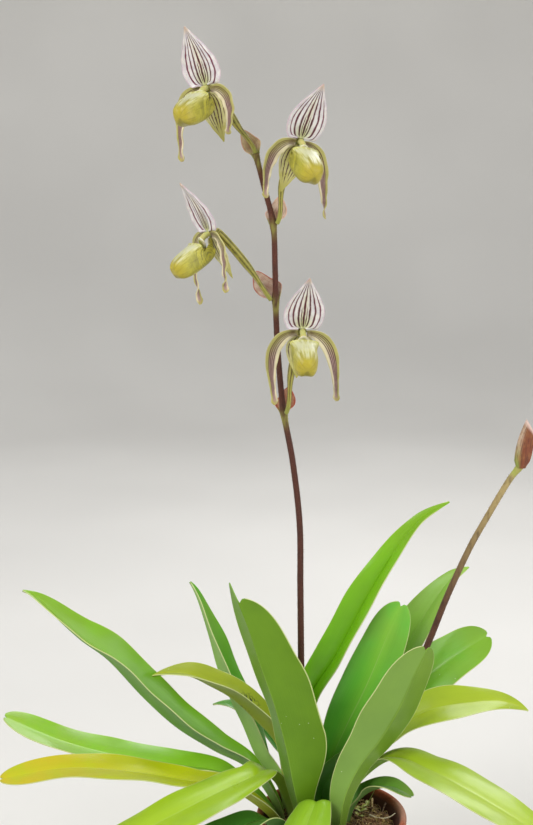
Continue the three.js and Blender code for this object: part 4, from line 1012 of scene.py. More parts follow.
def dorsal_finish():
    """White sepal with long maroon stripes, green at its foot, beige at its tip."""
    nodes, along, across, spread, grid = petal_nodes("dorsal_sepal_finish")
    ramp = nodes.ramp
    broken = ramp(nodes.streaks(grid, 20, 24, 3.0), 0.2, 0.36)
    ink = nodes.paint("42201a", ("561620", ramp(along, 0.05, 0.4)), ("6a1c38", ramp(spread, 0.25, 0.85)))
    outer = nodes.times(ramp(spread, 0.72, 0.86), ramp(along, 0.7, 0.4))
    colour = nodes.paint(
        "e6e2e0",
        ("d2ccd0", ramp(nodes.cloud(160, 3.0), 0.35, 0.7)),
        ("dedbb0", ramp(spread, 0.34, 0.0), ramp(along, 1.0, 0.5), 0.55),
        ("bcc26e", ramp(along, 0.34, 0.02), ramp(spread, 0.75, 0.2), 0.7),
        ("c9ae94", ramp(along, 0.84, 0.98), 0.8),
        (ink, draw_lines(nodes, along, across, DORSAL_LINES), broken),
        ("a0607c", outer, ramp(nodes.streaks(grid, 60, 70, 1.0), 0.66, 0.72)),
        ("b894a8", ramp(spread, 0.93, 1.0), 0.55),
    )
    return nodes.dress(colour, vein_relief(nodes, grid), 0.3, 0.0005)


def synsepal_finish():
    """Yellow-green sepal with dark broken stripes and a green tip."""
    nodes, along, across, spread, grid = petal_nodes("synsepal_finish")
    ramp = nodes.ramp
    broken = ramp(nodes.streaks(grid, 16, 16, 3.0), 0.33, 0.45)
    colour = nodes.paint(
        "d2cc8c",
        ("beb868", ramp(nodes.cloud(150, 3.0), 0.35, 0.7)),
        ("b3ad58", ramp(along, 0.55, 0.95)),
        ("ddd8b4", ramp(spread, 0.5, 0.9), ramp(along, 0.7, 0.3), 0.5),
        ("4a2224", draw_lines(nodes, along, across, SYNSEPAL_LINES), broken),
    )
    return nodes.dress(colour, vein_relief(nodes, grid), 0.35, 0.0005)


dorsal_material, synsepal_material = dorsal_finish(), synsepal_finish()
for name in FLOWERS:
    top = make_blade("top_sepal_" + name, *sepal_surface(DORSAL, 1, STANCES[name]))
    low = make_blade("joined_sepal_" + name, *sepal_surface(SYNSEPAL, -1, STANCES[name]))
    settle(top, dorsal_material, "dorsal_sepal", "dorsal_sepal_" + name)
    settle(low, synsepal_material, "synsepal", "synsepal_" + name)
print("sepals:", 2 * len(FLOWERS))

# %% [markdown]
# ### Petals
# A petal leaves the flower sideways and bends down in one long curve: its heading goes from rise to curl
# as (1 - s) to the power bend falls, and the curve is the running sum of small steps along the heading.
# The strap is widest in its first third. Its margins are waved, and on two flowers its tip is twisted.

# %% Petal surface
PETAL_FOOT = (4.4, 2.1, -2)
PETAL_WIDTH = 12.5
PETAL_HALF = 0.4
PETAL_WAVE = 1.1
PETAL_GRID = (150, 25)


def petal_surface(petal, hand, stance):
    """Grid of a petal in the plant's frame, half its thickness, and how far along and across it is."""
    steps = PETAL_GRID[0] - 1
    s = (np.arange(steps) + 0.5) / steps
    heading = np.radians(petal["curl"] + (petal["rise"] - petal["curl"]) * (1 - s) ** petal["bend"])
    sweep = petal["sweep"] * np.sin(math.pi * s)
    move = np.stack([hand * np.cos(heading), sweep, np.sin(heading)], axis=1)
    walked = np.vstack([np.zeros(3), np.cumsum(unit(move), axis=0)]) * petal["length"] / steps
    path = walked + np.array(PETAL_FOOT) * (hand, 1, 1)
    _, face, side = path_axes(path, (0, -1, 0))
    u, v = shares(*PETAL_GRID)
    twist = math.radians(petal["twist"]) * smooth_step(u, 0.72, 1.0)
    turned_face = face * np.cos(twist) + side * np.sin(twist)
    turned_side = side * np.cos(twist) - face * np.sin(twist)
    broad = (0.5 + 0.5 * smooth_step(u, 0, 0.25)) * (1 - 0.58 * smooth_step(u, 0.35, 0.85))
    end = np.sqrt(np.clip(1 - (np.maximum(0, u - 0.95) / 0.0505) ** 2, 0, 1))
    knob = 1 + 0.25 * bell(u, 0.03, 0.95)
    half_width = 0.5 * PETAL_WIDTH * broad * end * knob
    ripple = np.sin(9 * math.pi * u + np.where(v > 0, 0, 1.6)) + 0.4 * np.sin(31 * u + 2 * v)
    wave = PETAL_WAVE * np.abs(v) ** 1.5 * ripple * smooth_step(u, 0.05, 0.3)
    trough = -0.9 * (1 - v * v) * np.sin(math.pi * np.clip(u, 0, 0.9) / 0.9)
    local = path[:, None] + turned_side[:, None] * (half_width * v)[..., None]
    local = local + turned_face[:, None] * (wave + trough)[..., None]
    return stance.out(local), PETAL_HALF, u, -hand * v


print("petal surface ready")

# %% Petal finish
PETAL_LINES = [
    (0.44, 0.12, 0.0, 0.97), (0.17, 0.12, 0.0, 0.96), (-0.1, 0.12, 0.02, 0.96), (-0.37, 0.12, 0.02, 0.93),
]


def petal_finish():
    """Petal with a yellow-green outer margin, cream inner margin and brown lines on a mauve middle."""
    nodes, along, across, spread, grid = petal_nodes("petal_finish")
    ramp = nodes.ramp
    from_heart = nodes.calc("ABSOLUTE", nodes.plus(across, 0.05))
    broken = ramp(nodes.streaks(grid, 22, 20, 3.0), 0.2, 0.45)
    colour = nodes.paint(
        "dfd5b2",
        ("b0aa62", ramp(across, -0.5, 0.35)),
        ("a98688", ramp(from_heart, 0.72, 0.3), ramp(along, 0.22, 0.5), 0.85),
        ("4c2724", draw_lines(nodes, along, across, PETAL_LINES), broken, 0.9),
        ("4a241c", ramp(along, 0.14, 0.0), ramp(nodes.cloud(150, 3.0), 0.25, 0.55), 0.8),
        ("c9c088", ramp(spread, 0.8, 0.98), 0.6),
        ("b4aa50", ramp(along, 0.93, 0.985), 0.7),
    )
    return nodes.dress(colour, vein_relief(nodes, grid), 0.4, 0.0005)


petal_material = petal_finish()
for name, flower in FLOWERS.items():
    for side, hand in (("left", -1), ("right", 1)):
        piece = make_blade(f"{side}_petal_{name}", *petal_surface(flower[side], hand, STANCES[name]))
        settle(piece, petal_material, "petal", f"petal_{side}_{name}")
print("petals:", 2 * len(FLOWERS))

# %% [markdown]
# ### The pouch
# The pouch is a waxy bag with an open top. Rays run from each point of its rim to its toe. The rim starts
# under the back, rises over two side lobes, dips in two notches and ends in a flared front lip. Round its
# axis the bag is a squarish oval, whose size along the axis follows a blunt bulge: one less |2s - 1| to
# the power 3, all to the power 1 / 3. A shallow groove under the toe parts it in two lobes.

# %% Pouch surface
POUCH_BACK = (0, 1.7, -10.8)
POUCH_TOE = (0, -47, -19.5)
POUCH_HALF_WIDTH = 11.2
POUCH_HALF_DEPTH = 12.7
POUCH_WALL = 0.9
POUCH_FLARE = 4
POUCH_BLUNTNESS = 3
POUCH_SQUARENESS = 0.75
POUCH_RIM = [(0.03, 0), (0.03, 34), (0.05, 70), (0.11, 110), (0.2, 98), (0.28, 66), (0.32, 104),
             (0.31, 138), (0.35, 160), (0.36, 180)]
POUCH_STRAP = [(0, 1.6, -4.4), (0, 1.8, -9), (0, -0.9, -19.6)]
POUCH_AROUND = 128
POUCH_ROWS = 64
RIM_STEPS = 181
RIM_SOFTENING = 10
STRAP_RADIUS = 1.5
STRAP_ROWS = 31
STRAP_SIDES = 16


def soften(values, rounds):
    """The row of values, smoothed a few times by averaging each with its neighbours; the ends stay."""
    values = np.array(values, float)
    for _ in range(rounds):
        values[1:-1] = 0.25 * values[:-2] + 0.5 * values[1:-1] + 0.25 * values[2:]
    return values


def pouch_sheet(inset, droop):
    """Grid of one face of the bag in the flower's frame, from rim to toe, a distance inside the outer."""
    back, toe = np.array(POUCH_BACK), np.array(POUCH_TOE)
    axis = toe - back - droop * UP
    tangent = axis / np.linalg.norm(axis)
    upward = np.cross(tangent, (1, 0, 0))
    upward = upward if upward[2] > 0 else -upward
    k = np.arange(POUCH_AROUND)
    h = 1 - np.abs(1 - 2 * k / POUCH_AROUND)
    hand = np.where(k < POUCH_AROUND / 2, 1, -1)
    marks = np.linspace(0, 1, len(POUCH_RIM))
    fine = np.linspace(0, 1, RIM_STEPS)
    rows = (soften(np.interp(fine, marks, column), RIM_SOFTENING) for column in zip(*POUCH_RIM))
    rim_share, rim_angle = (np.interp(h, fine, row) for row in rows)
    q = np.linspace(0, 1, POUCH_ROWS)[:, None]
    s = rim_share + (0.9985 - rim_share) * q
    angle = rim_angle + (180 * h - rim_angle) * smooth_step(q, 0, 0.5)
    bulge = (1 - np.abs(2 * s - 1) ** POUCH_BLUNTNESS) ** (1 / POUCH_BLUNTNESS)
    corner = bell(angle, 26, 132)
    flare = POUCH_FLARE * corner * bell(s, 0.12, 0.31)
    lip = 1.1 * bell(q, 0.035) * smooth_step(angle, 110, 165)
    groove = 1.6 * bell(np.radians(angle), 0.42) * smooth_step(s, 0.45, 0.9)
    dimple = 0.9 * bell(angle, 16, 180) * smooth_step(s, 0.45, 0.75)
    sine, cosine = np.sin(np.radians(angle)), np.cos(np.radians(angle))
    wide = (POUCH_HALF_WIDTH * bulge - inset + lip) * np.abs(sine) ** POUCH_SQUARENESS
    wide = np.where(np.abs(sine) < 1e-6, 0, wide + flare)
    deep = POUCH_HALF_DEPTH * bulge - inset + lip - groove - dimple
    deep = -deep * np.sign(cosine) * np.abs(cosine) ** POUCH_SQUARENESS
    points = back + axis * s[..., None] + upward * deep[..., None]
    points = points + np.array([1.0, 0, 0]) * (hand * wide)[..., None]
    return points - tangent * inset * smooth_step(s, 0.9, 1.0)[..., None], s, angle * hand / 180


def pouch_mesh(name, stance, droop):
    """The bag as one closed mesh: outer face, inner face, and quads that join them along the rim."""
    outer, s, turn = pouch_sheet(0, droop)
    inner = pouch_sheet(POUCH_WALL, droop)[0]
    count = POUCH_ROWS * POUCH_AROUND
    index = np.arange(POUCH_AROUND)
    ahead = np.roll(index, -1)
    last = index + count - POUCH_AROUND
    faces = grid_faces(POUCH_ROWS, POUCH_AROUND, wrap=True).tolist()
    faces += grid_faces(POUCH_ROWS, POUCH_AROUND, wrap=True, start=count)[:, ::-1].tolist()
    faces += np.stack([index, index + count, ahead + count, ahead], axis=-1).tolist()
    faces += [last[::-1].tolist(), (last + count).tolist()]
    strap_path = smooth_path(POUCH_STRAP, np.subtract(POUCH_STRAP[1], POUCH_STRAP[0]), STRAP_ROWS - 1)[0]
    strap = tube_points(strap_path, STRAP_RADIUS * np.ones(STRAP_ROWS), STRAP_SIDES, (1, 0, 0))
    faces += tube_faces(STRAP_ROWS, STRAP_SIDES, start=2 * count)
    points = np.vstack([sheet.reshape(-1, 3) for sheet in (outer, inner, strap)])
    on_strap = np.zeros(STRAP_ROWS * STRAP_SIDES)
    values = {
        "along": np.concatenate([s.ravel(), s.ravel(), on_strap]),
        "across": np.concatenate([np.abs(turn).ravel(), np.abs(turn).ravel(), on_strap]),
        "below": np.concatenate([np.zeros(count), np.ones(count), on_strap]),
    }
    return make_piece(name, stance.out(points), faces, values, sharp=70)


print("pouch surface ready")

# %% Pouch finish
def pouch_finish():
    """Waxy yellow-green with a painted highlight of pale bands on the upper front and painted shade on the
    under side, deep yellow at the toe, with faint curved veins.
    """
    nodes = Finish("pouch_finish", IOR=1.42, Coat_Roughness=0.3, Subsurface_Weight=0.15,
                   Subsurface_Radius=(1.0, 0.9, 0.3), Subsurface_Scale=0.002)
    along, across, _, grid = nodes.surface()
    inner, ramp = nodes.read("below"), nodes.ramp
    cloud = nodes.cloud(110, 3.0)
    notch = {"Vector": grid, "Location": (-0.52, -0.58, 0), "Scale": (2.0, 1.5, 1)}
    reach = nodes.length(nodes.add("Mapping", notch).outputs["Vector"])
    rings = nodes.streaks(nodes.pair(reach, across), 15, 3)
    veins = nodes.streaks(grid, 3, 17)
    # The upper front, where the pale bands of painted highlight go.
    front = nodes.times(ramp(across, 0.55, 0.85), ramp(along, 0.93, 0.78))
    near_notch = nodes.times(ramp(reach, 1.1, 0.3), ramp(across, 0.95, 0.7))
    colour = nodes.paint(
        "bdb63c",
        ("a9a334", ramp(cloud, 0.35, 0.7)),
        ("b2a32e", ramp(along, 0.7, 0.98)),
        # Darker towards the under side of the bag: painted shade where it turns away from the light.
        ("7c7320", ramp(across, 0.5, 0.08), 0.75),
        # Pale bands on the upper front, broken by the veins: a painted highlight, the bag's satin sheen.
        ("dadcc0", front, ramp(veins, 0.78, 0.34), 0.75),
        ("757327", ramp(rings, 0.5, 0.57), near_notch, 0.75),
        ("7a7024", ramp(veins, 0.52, 0.66), ramp(across, 0.1, 0.5), 0.45),
        ("c3c24c", ramp(along, 0.4, 0.31), ramp(across, 0.55, 0.8), 0.7),
        ("b4ae62", inner, 0.6),
    )
    rough = nodes.fit(cloud, 0.3, 0.7, 0.32, 0.44)
    coat = nodes.fit(inner, 0, 1, 0.25, 0.05)
    grain = nodes.use(cell_grain, Place=nodes.place(), Scale=1100.0, Pores=0.5)
    relief = nodes.plus(nodes.times(rings, 0.8), nodes.times(veins, 1.2), grain)
    return nodes.dress(colour, relief, 0.5, 0.0008, Roughness=rough, Coat_Weight=coat)


pouch_material = pouch_finish()
for name, flower in FLOWERS.items():
    piece = pouch_mesh("bag_" + name, STANCES[name], flower.get("droop", 0))
    settle(piece, pouch_material, "pouch", "pouch_" + name)
print("pouches:", len(FLOWERS), "with", len(piece.data.polygons), "faces each")

# %% [markdown]
# ### The column
# At the heart of the flower stands a short thick finger with a rounded shield on its front. The shield
# hangs over the pouch's opening. It is a flattened ball with a shallow dent down its middle and a small
# notch below, whitish at its rim and green within.

# %% Column surface and finish
COLUMN_PATH = [(0, 2.2, 0), (0, -3, -0.6), (0, -7.5, -3)]
COLUMN_RADIUS = 2.7
SHIELD_SIZE = (5, 1.8, 6.4)
SHIELD_PLACE = (0, -8, -6.2)
SHIELD_TILT = 14
FINGER_ROWS = 25
FINGER_SIDES = 24
FINGER_SWELL = 0.12
FINGER_GREEN = 0.6
SHIELD_ROWS = 28
SHIELD_SIDES = 40


def shield_points():
    """Flattened ball, from the sines and cosines of two angles, with a dent in front and a notch below."""
    polar = (np.arange(SHIELD_ROWS) + 0.5)[:, None] / SHIELD_ROWS * math.pi
    turn = circle(SHIELD_SIDES)[None, :]
    x = np.sin(polar) * np.cos(turn)
    y = np.sin(polar) * np.sin(turn)
    z = np.cos(polar) + 0 * turn
    dent = 0.35 * bell(x, 0.25) * (y < 0)
    notch = 0.22 * bell(x, 0.2) * smooth_step(-z, 0.4, 1)
    shoulder = 1 + 0.12 * bell(z, 0.4, 0.3)
    ball = np.stack([x * shoulder, y * (1 - dent), z + notch], axis=-1) * SHIELD_SIZE
    tilt = np.array(Matrix.Rotation(math.radians(SHIELD_TILT), 3, "X"))
    return ball @ tilt.T + SHIELD_PLACE, np.hypot(x, z).ravel()


def column_mesh(name, stance):
    """Finger and shield in one mesh, with how near the shield's rim each point is."""
    path = smooth_path(COLUMN_PATH, np.subtract(COLUMN_PATH[1], COLUMN_PATH[0]), FINGER_ROWS - 1)[0]
    radius = COLUMN_RADIUS * (1 + FINGER_SWELL * np.linspace(0, 1, FINGER_ROWS))
    finger = tube_points(path, radius, FINGER_SIDES, (1, 0, 0)).reshape(-1, 3)
    ball, rim = shield_points()
    faces = tube_faces(FINGER_ROWS, FINGER_SIDES)
    faces += tube_faces(SHIELD_ROWS, SHIELD_SIDES, start=len(finger))
    values = {"along": np.concatenate([np.full(len(finger), FINGER_GREEN), rim])}
    return make_piece(name, stance.out(np.vstack([finger, ball.reshape(-1, 3)])), faces, values, sharp=70)


def column_finish():
    """Pale waxy green, greener in the middle of the shield, whitish at its rim."""
    nodes = Finish("column_finish", Roughness=0.4, IOR=1.4, Subsurface_Weight=0.15,
                   Subsurface_Scale=0.0015)
    cloud = nodes.cloud(600, 3.0)
    colour = nodes.paint(
        "b4b24a",
        ("e4dfba", nodes.ramp(nodes.read("along"), 0.45, 0.9)),
        ("a3a040", nodes.ramp(cloud, 0.55, 0.7), 0.4),
    )
    return nodes.dress(colour, cloud, 0.3, 0.0004)


column_material = column_finish()
for name in FLOWERS:
    settle(column_mesh("shield_" + name, STANCES[name]), column_material, "column", "column_" + name)
print("columns:", len(FLOWERS))

# %% [markdown]
# ### Ovary and bract
# Behind each flower is its ovary, a ribbed green stalk with dark stripes, that runs down to the stem. It
# sits in a bract: a pointed papery shell that clasps the back of the stem. The ovary is a tube whose
# radius is raised by a small share of the cosine of six times the angle, which gives it six ribs.

# %% Ovary path and surface
OVARY_RADIUS = 3.8
PEDICEL_RADIUS = 2.1
RECEPTACLE_RADIUS = 4
OVARY_ROWS = 120
OVARY_SIDES = 48
OVARY_RIBS = 6
OVARY_RIB_HEIGHT = 0.05
OVARY_TWIST = 0.8
OVARY_KNEE_DEPTH = 17.5
OVARY_RISE = 1.3
TOP_STALK_GAP = 0.3
OVARY_MARKS = {"seat": (0, 3.05, 0), "neck": (0, 6.5, -0.5), "shoulder": (0, 12.5, -2.4)}


def ovary_path(name):
    """Path of a flower's stalk from its joint on the stem to the back of the flower."""
    stance, joint = STANCES[name], np.array(JOINTS[name], float)
    seat, neck, behind = (stance.out(OVARY_MARKS[mark]) for mark in ("seat", "neck", "shoulder"))
    knee = stance.back(joint) * 0.55 + np.array(OVARY_MARKS["shoulder"]) * 0.45
    knee[1] = max(knee[1], OVARY_KNEE_DEPTH)
    outward_flat = unit((behind - joint) * (1, 1, 0))
    start = joint + outward_flat * (STEM_RADIUS + NODE_SWELL + PEDICEL_RADIUS * 0.45)
    heading = outward_flat + OVARY_RISE * UP
    if name == "top_left":
        heading = unit(joint - FLOWERING_STEM[-2])
        start = joint + TOP_STALK_GAP * heading
    spine = [start, stance.out(knee), behind, neck, seat]
    return smooth_path(spine, heading, OVARY_ROWS - 1, end=seat - neck)[0]


def ovary_mesh(name, path):
    """Ribbed tube: radius grows from the stalk to the ovary and to the seat, times one plus the ribs."""
    u = np.linspace(0, 1, len(path))
    body = PEDICEL_RADIUS + (OVARY_RADIUS - PEDICEL_RADIUS) * smooth_step(u, 0.2, 0.5)
    radius = body + (RECEPTACLE_RADIUS - body) * smooth_step(u, 0.93, 0.99)
    ribs = np.cos(OVARY_RIBS * circle(OVARY_SIDES) + OVARY_TWIST * u[:, None])
    ribbed = radius[:, None] * (1 + OVARY_RIB_HEIGHT * ribs * smooth_step(u, 0.2, 0.5)[:, None])
    values = {"along": np.repeat(u, OVARY_SIDES), "across": ribs.ravel()}
    return make_tube(name, tube_points(path, ribbed, OVARY_SIDES, (1, 0, 0)), values), radius


print("ovary surface ready")

# %% Bract surface
BRACT_DROP = 2
BRACT_WRAP = 55
BRACT_CLASP = 4.5
BRACT_DEPTH = 3.6
BRACT_SET_BACK = 5
BRACT_HALF = 0.35
BRACT_CROWN_SHARE = 4 / 15
BRACT_GRID = (60, 41)


def bract_surface(name, path):
    """Grid of a bract: an arc round a centre that shifts from the stem to the stalk as the shell opens."""
    length, full_width = FLOWERS[name]["bract"]
    joint = np.array(JOINTS[name], float)
    through = np.array(FLOWERING_STEM, float)
    above = int(np.argmax(through[:, 2] >= joint[2]))
    stem_heading = unit(through[above] - through[above - 1])
    foot = np.array([path[0][0], joint[1], path[0][2]])
    stalk = unit((read_path(path, np.array(BRACT_CROWN_SHARE)) - foot) * (1, 0, 1))
    side = np.cross(stalk, (0, 1, 0))
    u, v = shares(*BRACT_GRID)
    rise = (-BRACT_DROP + (length + BRACT_DROP) * u)[..., None]
    shift = (0.92 * smooth_step(u, 0.05, 0.65))[..., None]
    centre = (joint + stem_heading * rise) * (1 - shift) + (foot + stalk * rise) * shift
    opening = smooth_step(u, 0, 0.4)
    pointed = np.clip(1.015 - u, 0, 1) ** 0.62 * (1 + 0.3 * smooth_step(u, 0.1, 0.5))
    spread = np.radians(BRACT_WRAP + (88 - BRACT_WRAP) * opening) * v
    wide = (BRACT_CLASP + (full_width - BRACT_CLASP) * opening) * pointed
    deep = (BRACT_CLASP + (BRACT_DEPTH - BRACT_CLASP) * opening) * pointed
    ripple = 0.35 * np.sin(9 * u + 2 * v) * v * v * opening
    away = BRACT_SET_BACK * opening + deep * np.cos(spread) + ripple
    middle = centre + np.array([0, 1.0, 0]) * away[..., None] + side * (wide * np.sin(spread))[..., None]
    return middle, BRACT_HALF, u, v


print("bract surface ready")

# %% Ovary and bract finishes
def ovary_finish():
    """Yellow-green ribs with dark brown stripes between them, and a painted highlight of tan on the crest
    of every rib.
    """
    nodes = Finish("ovary_finish", Roughness=0.55, Sheen_Weight=0.3, Sheen_Roughness=0.4)
    along, ribs, ramp = nodes.read("along"), nodes.read("across"), nodes.ramp
    cloud = nodes.cloud(160, 3.0)
    wavy = ramp(nodes.cloud(420), 0.25, 0.5)
    colour = nodes.paint(
        "9c983a",
        ("80842e", ramp(cloud, 0.35, 0.7)),
        # Tan on each rib's crest: a painted highlight, as if light caught every ridge.
        ("c2ad62", ramp(ribs, 0.3, 1.0), 0.5),
        ("4a2a18", ramp(ribs, -0.45, -0.85), ramp(along, 0.02, 0.2), wavy, 0.9),
        ("94963e", ramp(along, 0.16, 0.0)),
    )
    return nodes.dress(colour, nodes.plus(cloud, nodes.cloud(1600)), 0.3, 0.0005)


def bract_finish(name, low, high, edge):
    """Dry papery shell: green at its foot, tan with darker lines above, warm along its edge, and painted
    shade in its hollow middle.
    """
    nodes = Finish(name, Roughness=0.7, Subsurface_Weight=0.1, Subsurface_Scale=0.001)
    along, _, spread, grid = nodes.surface()
    ramp = nodes.ramp
    lines = nodes.streaks(grid, 3, 22, 3.0)
    colour = nodes.paint(
        low,
        (high, ramp(nodes.cloud(180, 3.0), 0.35, 0.7)),
        ("8e5c48", ramp(lines, 0.52, 0.62), 0.6),
        # Darker towards the middle and low in the shell: painted shade in the cupped hollow.
        ("7c4c2c", ramp(spread, 0.62, 0.1), ramp(along, 0.85, 0.3), 0.6),
        (edge, ramp(spread, 0.7, 1.0), ramp(along, 0.15, 0.6), 0.85),
        ("939c46", ramp(along, 0.26, 0.02)),
    )
    return nodes.dress(colour, nodes.plus(lines, nodes.cloud(1300)), 0.4, 0.0005)


STALK_HAIR = (900, 0.8, 0.05)
STALK_HAIR_SEED = 40
BRACT_COLOURS = {
    "top_left": ("dccaa0", "c9ae86", "e0a890"),
    "top_right": ("e6d0bc", "d4b49c", "e4b8a6"),
    "mid_left": ("e4d0bc", "ceac98", "bc4a28"),
    "lower_front": ("c8987a", "b8644a", "ac3c1e"),
}
ovary_material = ovary_finish()
fair_hair = hair_finish("fair_hair", "8a7a4a", "cfc49a")
for seed, name in enumerate(FLOWERS, STALK_HAIR_SEED):
    path = ovary_path(name)
    piece, radius = ovary_mesh("stalk_" + name, path)
    settle(piece, ovary_material, "ovary", "ovary_" + name)
    down = hairs_on("stalk_hair_" + name, path, radius, (1, 0, 0), *STALK_HAIR, seed=seed)
    settle(down, fair_hair, "ovary")
    shell = make_blade("shell_" + name, *bract_surface(name, path))
    settle(shell, bract_finish("bract_finish_" + name, *BRACT_COLOURS[name]), "bract", "bract_" + name)
print("ovaries and bracts:", 2 * len(FLOWERS))

# %% [markdown]
# ### The sheath on the second stem
# The second stem ends in a flat folded sheath that still hides its bud. It wraps the stem's end and opens
# along one edge. Seen from the front it is tan-green on the left, orange-brown on the right, and its tip
# is thin and pinkish white.

# %% Bud sheath
SHEATH_LENGTH = 48
SHEATH_HALF_WIDTH = 9.5
SHEATH_HALF_DEPTH = 5
SHEATH_LEAN = 9
SHEATH_GRIP = 2
SHEATH_FOOT = STEM_RADIUS + 1.3
SHEATH_GRID = (80, 61)


def sheath_surface():
    """Grid of the sheath: an oval arc round the stem that swells by a sine and flattens near its tip."""
    u, v = shares(*SHEATH_GRID)
    height = SHEATH_LENGTH * u * (1 - 0.3 * u * v * v)
    swell = np.sin(math.pi * (0.12 + 0.74 * u)) * smooth_step(u, -0.02, 0.16)
    around = np.radians(150 - 55 * u) * v
    wide = (SHEATH_FOOT + (SHEATH_HALF_WIDTH - SHEATH_FOOT) * swell) * np.cos(around)
    deep = (SHEATH_FOOT + (SHEATH_HALF_DEPTH - SHEATH_FOOT) * swell) * np.sin(around)
    crease = 0.25 * np.sin(14 * v + 3 * u) * smooth_step(u, 0.1, 0.4)
    local = np.stack([SHEATH_LEAN * u - wide + 2 * u, deep + crease, height - SHEATH_GRIP], axis=-1)
    return local + BUDDING_STEM[-1], BRACT_HALF, u, v


def sheath_finish():
    """Papery sheath that goes from tan-green at its fold to orange-brown, with a thin pale tip."""
    nodes = Finish("bud_sheath_finish", Roughness=0.6)
    along, _, spread, grid = nodes.surface()
    lines = nodes.streaks(grid, 3, 26, 3.0)
    cloud = nodes.cloud(140, 3.0)
    colour = nodes.paint(
        "8f9a48",
        ("c6ac92", nodes.ramp(along, 0.1, 0.6)),
        ("7c4024", nodes.ramp(spread, 0.26, 0.56)),
        ("9c6a3c", nodes.ramp(cloud, 0.4, 0.7), 0.5),
        ("4c2418", nodes.ramp(lines, 0.5, 0.62), 0.7),
        ("dcc0b4", nodes.ramp(along, 0.86, 0.99)),
    )
    return nodes.dress(colour, nodes.plus(lines, cloud), 0.4, 0.0006)


settle(make_blade("folded_sheath", *sheath_surface()), sheath_finish(), "bud_sheath", "bud_sheath")
print("sheath in place")

# %% [markdown]
# ## The clay pot
# The pot is turned: one profile goes from the middle of the underside up the wall, over the thick rim band
# and down inside. Each corner of the profile is rounded by a short curve, since thrown clay has no sharp
# edges. The Screw modifier could turn it too, but arrays keep the radius and height in plain sight.

# %% Pot
RIM_RADIUS = 75
WALL_SLOPE = 0.2
CORNER_STEPS = 7
PROFILE_SPACING = 4
POT_SIDES = 144
POT_PROFILE = [
    (0, 0, 0), (50, 0, 2.5), (71, 114, 2), (74, 116, 1.5), (75, 137, 1.5), (73.6, 140, 2), (70, 140, 2.4),
    (68.5, 136, 3), (64.5, 114, 4), (43.5, 9, 4), (0, 9, 0),
]


def rounded(profile, steps):
    """Profile whose corners are cut back by their own size and joined by a curve of the second order."""
    places, size = np.array(profile, float)[:, :2], np.array(profile, float)[1:-1, 2:]
    before, corner, after = places[:-2], places[1:-1], places[2:]
    start = (corner + unit(before - corner) * size)[:, None]
    end = (corner + unit(after - corner) * size)[:, None]
    t = np.linspace(0, 1, steps)[None, :, None]
    curve = start * (1 - t) ** 2 + 2 * corner[:, None] * t * (1 - t) + end * t * t
    off_axis = (0.5, 0)
    return np.vstack([places[0] + off_axis, curve.reshape(-1, 2), places[-1] + off_axis])


def filled(profile, spacing):
    """Radius and height of a profile, with extra points on its long straight runs."""
    lengths = lengths_to(profile)
    marks = np.unique(np.concatenate([lengths, np.arange(0, lengths[-1], spacing)]))
    return (np.interp(marks, lengths, column) for column in profile.T)


def pot_finish():
    """Unglazed red clay: mottled, with throwing lines, pale salt near the rim, damp dark patches, and
    painted shade on the inner wall below the rim.
    """
    nodes = Finish("clay_finish", Roughness=0.85)
    place, ramp = nodes.place(), nodes.ramp
    height = nodes.add("SeparateXYZ", {"Vector": place}).outputs["Z"]
    cloud = nodes.noise(place, 18, 4.0)
    fine = nodes.noise(place, 420, 3.0)
    rings = nodes.noise(place, 1.0, 3.0, squash=(3, 3, 420))
    flat = nodes.add("VectorMath", {0: place, 1: (1, 1, 0)}, operation="MULTIPLY").outputs["Vector"]
    from_cone = nodes.calc("SUBTRACT", nodes.length(flat), nodes.times(height, WALL_SLOPE))
    colour = nodes.paint(
        "ab5433",
        ("96452b", ramp(cloud, 0.3, 0.7)),
        ("cf8560", ramp(fine, 0.5, 0.75), 0.45),
        ("8c432c", ramp(rings, 0.5, 0.75), 0.35),
        ("d9c3ae", ramp(height, 0.108, 0.14), ramp(cloud, 0.46, 0.66), 0.3),
        ("6f3c28", ramp(height, 0.06, 0.0), ramp(cloud, 0.4, 0.6), 0.6),
        # Near-black on the inner wall below the rim: painted shade, the shadow inside the pot.
        ("33201a", ramp(from_cone, 0.045, 0.043), ramp(height, 0.14, 0.131), 0.85),
    )
    return nodes.dress(colour, nodes.plus(nodes.times(rings, 0.8), fine), 0.5, 0.0007)


pot_radius, pot_height = filled(rounded(POT_PROFILE, CORNER_STEPS), PROFILE_SPACING)
pot = make_tube("clay_pot", turned(pot_radius, pot_height, POT_SIDES), sharp=50)
settle(pot, pot_finish(), "pot", "pot")
print("pot", len(pot.data.polygons), "faces")

# %% [markdown]
# ## The potting mix
# The pot is filled with brown bark and fibre. The ground is a turned surface whose top is raised by sums
# of sines, so that it is lumpy but the same each run. Bark chips lie on it in one mesh, and so do curled
# fibres. The few things seen in the photograph each get their own place: seedlings, a pale root, twigs,
# a dry husk and a blade of grass.

# %% Ground of the mix
MIX_TOP = 120
MIX_MOUND = 3
MIX_EDGE = 64.2
MIX_LUMP = 0.9
MIX_ROWS = 60
MIX_SIDES = 150
MIX_UNDERSIDE = [(MIX_EDGE, 114), (54, 62), (43.2, 12), (43.2, 9.3), (20, 9.3), (0.3, 9.3)]


